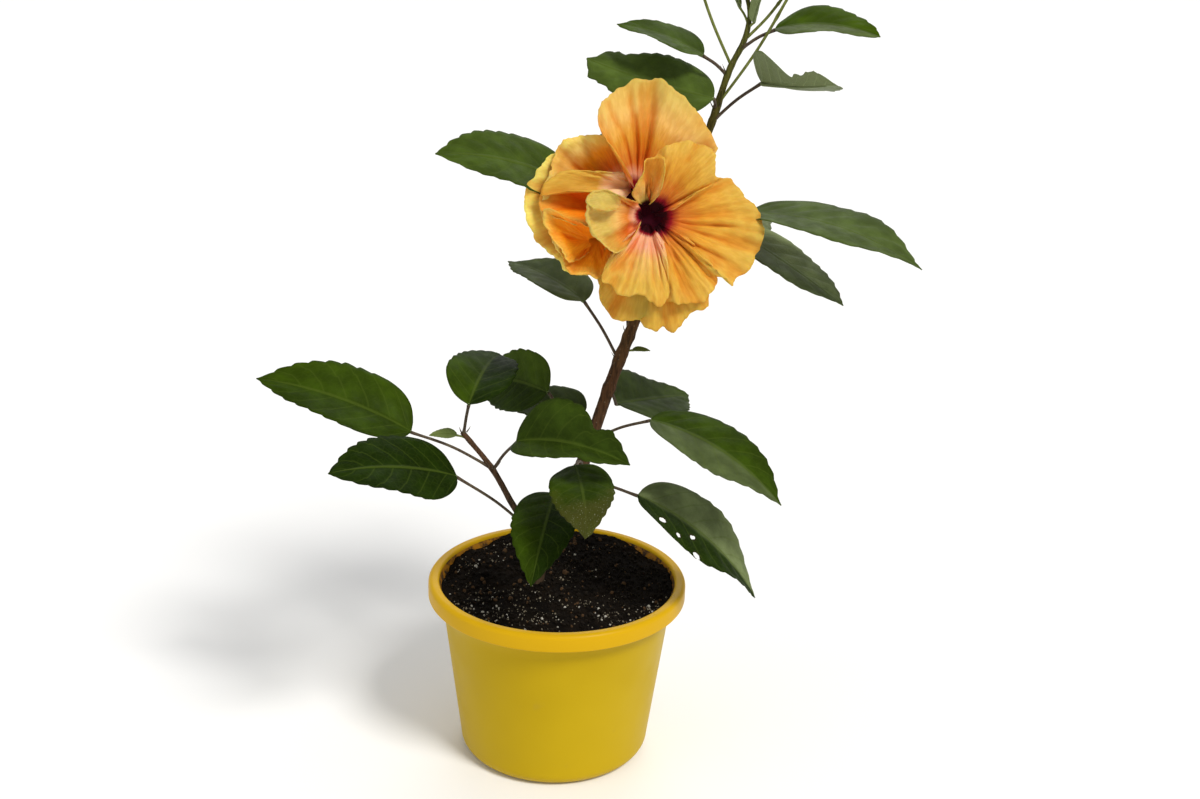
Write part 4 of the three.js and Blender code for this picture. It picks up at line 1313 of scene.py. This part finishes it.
def petal(shape, row, seed, slot, back_slot, rows=32, columns=108):
    """A closed thin sheet over the fan of rays from a petal's base to its margin."""
    base = Vector(row["base"])
    margin = even_line(smooth_line([Vector(p) for p in row["margin"]], 8), columns)
    around = 0.0
    cells = []
    for j, end in enumerate(margin):
        if j:
            around += (end - margin[j - 1]).length
        u = j / columns
        ahead = Vector((end.x - base.x, end.y - base.y, 0))
        length = ahead.length
        ahead.normalize()
        notch = 1.6 * noise.noise(Vector((around / 7.5, seed, 0.3)))
        notch += 1.1 * noise.noise(Vector((around / 2.6, seed, 4.1)))
        count, depth = row["pleats"]
        warp = 1.6 * noise.noise(Vector((u * 3.1, seed, 2.2)))
        column = []
        for i in range(rows + 1):
            v = i / rows
            out = 1.5 + (length - 1.5) * v
            rise = 1 - (1 - v) ** row["flare"] if row["flare"] > 1 else v ** (1 / row["flare"])
            z = base.z + (end.z - base.z) * rise
            wave = math.sin(2 * math.pi * count * u + warp + seed * 3 + 0.6 * v)
            fine = noise.noise(Vector((u * count * 6, v * 2.0, seed)))
            broad = noise.noise(Vector((u * 2.5, v * 2.2, seed + 12)))
            grown = smooth_step(0.08, 0.5, v)
            crumple = noise.noise(Vector((u * 11 + seed, v * 9, seed * 2)))
            relief = (0.6 * wave - 0.2 * wave * wave + 1.1 * fine + 0.9 * broad + 0.55 * crumple) * grown
            valley = 0.0
            for place_across, width, dip in row["creases"]:
                near = bell(u - place_across - 0.02 * math.sin(5 * v), width)
                near = near * smooth_step(0.12, 0.35, v) * (1 - v) ** 0.5
                z -= dip * near
                valley = max(valley, near)
            z += depth * relief
            # The fold value also sets where the petal's material paints shade into the valleys.
            fold = min(max(0.5 + 0.42 * relief - valley, 0.0), 1.0)
            edge = smooth_step(0.55, 1.0, v)
            frill = noise.noise(Vector((around / 8.5, v * 1.5, seed + 3))) * 1.5
            frill += 0.45 * noise.noise(Vector((around / 3.2, v * 2, seed + 6)))
            z += row["ruffle"] * edge * frill
            out += notch * edge
            curl = smooth_step(0.82, 1.0, v)
            out -= row["roll"] * (1 - math.cos(curl * 2.0)) * 0.6
            z += row["roll"] * math.sin(curl * 2.6) * 0.8
            cross = ahead.cross(Vector((0, 0, 1)))
            sway = 0.8 * noise.noise(Vector((u * 4, v * 3, seed + 9))) * v
            column.append((Vector((base.x, base.y, z)) + ahead * out + cross * sway, fold))
        cells.append(column)
    upper = []
    lower = []
    for i in range(rows + 1):
        top_row = []
        low_row = []
        for j in range(columns + 1):
            here, fold = cells[j][i]
            across = cells[min(j + 1, columns)][i][0] - cells[max(j - 1, 0)][i][0]
            along = cells[j][min(i + 1, rows)][0] - cells[j][max(i - 1, 0)][0]
            normal = across.cross(along).normalized()
            if normal.z < 0:
                normal = -normal
            for side, target in ((0.5, top_row), (-0.5, low_row)):
                p = here + normal * (side * PETAL_THICKNESS)
                target.append((in_bloom(p.x, p.y, p.z), j / columns, i / rows, fold))
        upper.append(top_row)
        lower.append(low_row)
    shape.sheet(upper, lower, slot, back_slot)


# The funnel's two faces, each a line of (radius, depth).
FUNNEL_SIDES = 36
FUNNEL_CENTRE = (1.0, 0.0)
FUNNEL_OUTSIDE = [(0, -25), (3, -24.5), (4.5, -22), (7, -18), (9.5, -14.5), (13, -12.5)]
FUNNEL_INSIDE = [(12.7, -12.3), (9, -14.2), (6.4, -16.5), (3, -17.5), (0, -17.8)]


def in_funnel(x, y, z):
    """A place about the funnel's own axis."""
    return in_bloom(FUNNEL_CENTRE[0] + x, FUNNEL_CENTRE[1] + y, z)


def build_funnel():
    """The closed cup that the petals spring from: dark inside, pale orange outside."""
    outside = len(FUNNEL_OUTSIDE) - 1
    outline = FUNNEL_OUTSIDE + FUNNEL_INSIDE
    shape = ring_shape(outline, FUNNEL_SIDES, lambda k: 1 if k < outside else 0, in_funnel)
    dark = crumb_material("bloom_throat_dark", (0.016, 0.0004, 0.003), (0.050, 0.0010, 0.008))
    pale = crumb_material("bloom_throat_back", (0.52, 0.26, 0.05), (0.62, 0.34, 0.09))
    place(shape.made("bloom_funnel", [dark, pale]), "petal_orange")


SEPALS = 5
SEPAL_ROWS = 14
CALYX_BRACTS = 8
BLOOM_STALK_HEIGHT = 352


def build_calyx(skin, stalks):
    """Five green sepals round the foot of the petals, with thin bracts under them, and the stalk."""
    shape = Shape()
    foot = in_bloom(0, 0, -CALYX_DEPTH)
    for k in range(SEPALS):
        turn = 2 * math.pi * (k + 0.25) / SEPALS
        out = ACROSS * math.cos(turn) + UPWARD * math.sin(turn)
        left = UPWARD * math.cos(turn) - ACROSS * math.sin(turn)
        upper = []
        lower = []
        for i in range(SEPAL_ROWS + 1):
            v = i / SEPAL_ROWS
            spread = 2.6 + 9.0 * v ** 0.8 + 1.5 * v ** 4
            centre = foot + BLOOM_FACING * (12 * v - 0.5) + out * spread
            half = 4.6 * (1 - v ** 2.2) ** 0.8 + 0.15
            rows = ([], [])
            for j in range(-4, 5):
                u = j / 4
                bow = out * (-1.3 * u * u * (1 - 0.4 * v))
                p = centre + left * (half * u) + bow
                rows[0].append((p - out * 0.25, 0.5 + u / 2, v))
                rows[1].append((p + out * 0.25, 0.5 + u / 2, v))
            upper.append(rows[0])
            lower.append(rows[1])
        shape.sheet(upper, lower)
    for k in range(CALYX_BRACTS):
        turn = 2 * math.pi * k / CALYX_BRACTS
        out = ACROSS * math.cos(turn) + UPWARD * math.sin(turn)
        root = foot + out * 1.5 - BLOOM_FACING * 0.5
        tip = foot + out * 8.5 + BLOOM_FACING * 6.5
        bow = foot + out * 5.5 + BLOOM_FACING * 1.5
        shape.tube(smooth_line([root, bow, tip], 6), lambda along, _: 0.65 * (1 - along) + 0.12, 6)
    bowl = [foot + BLOOM_FACING * (0.4 * i - 1.0) for i in range(9)]
    shape.tube(bowl, lambda along, _: 1.6 + 2.4 * math.sin(math.pi / 2 * along) ** 0.7, 24)
    place(shape.made("bloom_calyx", [skin]), "bud_green")

    def stalk_radius(along, _):
        return 1.3 + 0.5 * bell(1 - along, 0.12) + 0.35 * bell(along - 0.55, 0.05)

    back = Shape()
    main = at_height(main_line, BLOOM_STALK_HEIGHT)
    middle = main.lerp(foot, 0.5) + Vector((-3, 3, 3))
    line = even_line(smooth_line([main, middle, foot]), 24)
    back.tube(line, stalk_radius, 12)
    place(back.made("bloom_stalk_shape", [stalks["green"]]), "bud_green", "bloom_stalk")


def build_bloom(stalks):
    """The petals in three pieces, each petal with its own seed, then the funnel, calyx and stalk."""
    looks = sorted(PETAL_LOOKS)
    materials = [petal_material("petal_" + name, PETAL_LOOKS[name]) for name in looks]
    for group, names in BLOOM_GROUPS.items():
        shape = Shape()
        for name in names:
            seed = 1.7 + 2.3 * sorted(PETALS).index(name)
            face = looks.index(PETALS[name]["look"])
            petal(shape, PETALS[name], seed, face, looks.index("reverse"))
        piece = shape.made("bloom_" + group, materials)
        place(piece, "petal_orange", *(["bloom"] if group == "outer" else []))
    build_funnel()
    skin = stalk_material("calyx_skin", *BUD_GREENS)
    build_calyx(skin, stalks)


# ---------------------------------------------------------------- studio
FLOOR_REACH = 40000
FLOOR_DROP = 0.2
SKY_STRENGTH = 0.46

# Each lamp: where it shines towards, its strength, its spread in degrees and its colour.
LAMPS = {
    "key": ((-0.55, 0.62, -0.95), 2.3, 17, (1.0, 0.98, 0.94)),
    "fill": ((0.9, 0.5, -0.35), 0.25, 40, (0.95, 0.98, 1.0)),
    "back": ((-0.1, -1.0, -0.7), 0.6, 40, (1, 1, 1)),
}


def build_studio():
    """A pale floor and soft light."""
    floor_shape = Shape()
    for x, y in ((-1, -1), (1, -1), (1, 1), (-1, 1)):
        floor_shape.point((x * FLOOR_REACH, y * FLOOR_REACH, -FLOOR_DROP))
    floor_shape.face((0, 1, 2, 3))
    paint = Paint("studio_floor", 0.9, 0.1)
    paint.colour((0.95, 0.95, 0.95, 1))
    floor_shape.made("studio_floor", [paint.material])

    bpy.context.scene.view_settings.view_transform = "Standard"
    world = bpy.data.worlds.new("studio")
    bpy.context.scene.world = world
    world.use_nodes = True
    background = world.node_tree.nodes["Background"]
    background.inputs["Color"].default_value = (1, 1, 1, 1)
    background.inputs["Strength"].default_value = SKY_STRENGTH

    for name, (towards, strength, spread, colour) in LAMPS.items():
        data = bpy.data.lights.new(name, "SUN")
        data.energy = strength
        data.angle = math.radians(spread)
        data.color = colour
        lamp = bpy.data.objects.new(name, data)
        lamp.rotation_euler = Vector(towards).to_track_quat("-Z", "Y").to_euler()
        bpy.context.scene.collection.objects.link(lamp)


CAMERA_PLACE = (0.024, -0.875, 0.540)
CAMERA_PITCH = 19.0
CAMERA_ROLL = 1.75
CAMERA_LENS = 45
CAMERA_SENSOR = 36


def build_camera():
    """The camera, pitched down and rolled a little."""
    data = bpy.data.cameras.new("camera")
    data.lens = CAMERA_LENS
    data.sensor_width = CAMERA_SENSOR
    camera = bpy.data.objects.new("camera", data)
    tilt = Matrix.Rotation(math.radians(90 - CAMERA_PITCH), 4, "X")
    roll = Matrix.Rotation(math.radians(CAMERA_ROLL), 4, "Z")
    camera.matrix_world = Matrix.Translation(CAMERA_PLACE) @ tilt @ roll
    bpy.context.scene.collection.objects.link(camera)
    bpy.context.scene.camera = camera


build_camera()
build_studio()
build_pot()
build_mix()
build_crumbs()
build_stems()
stalk_looks = build_leaves()
build_buds(stalk_looks)
build_bloom(stalk_looks)
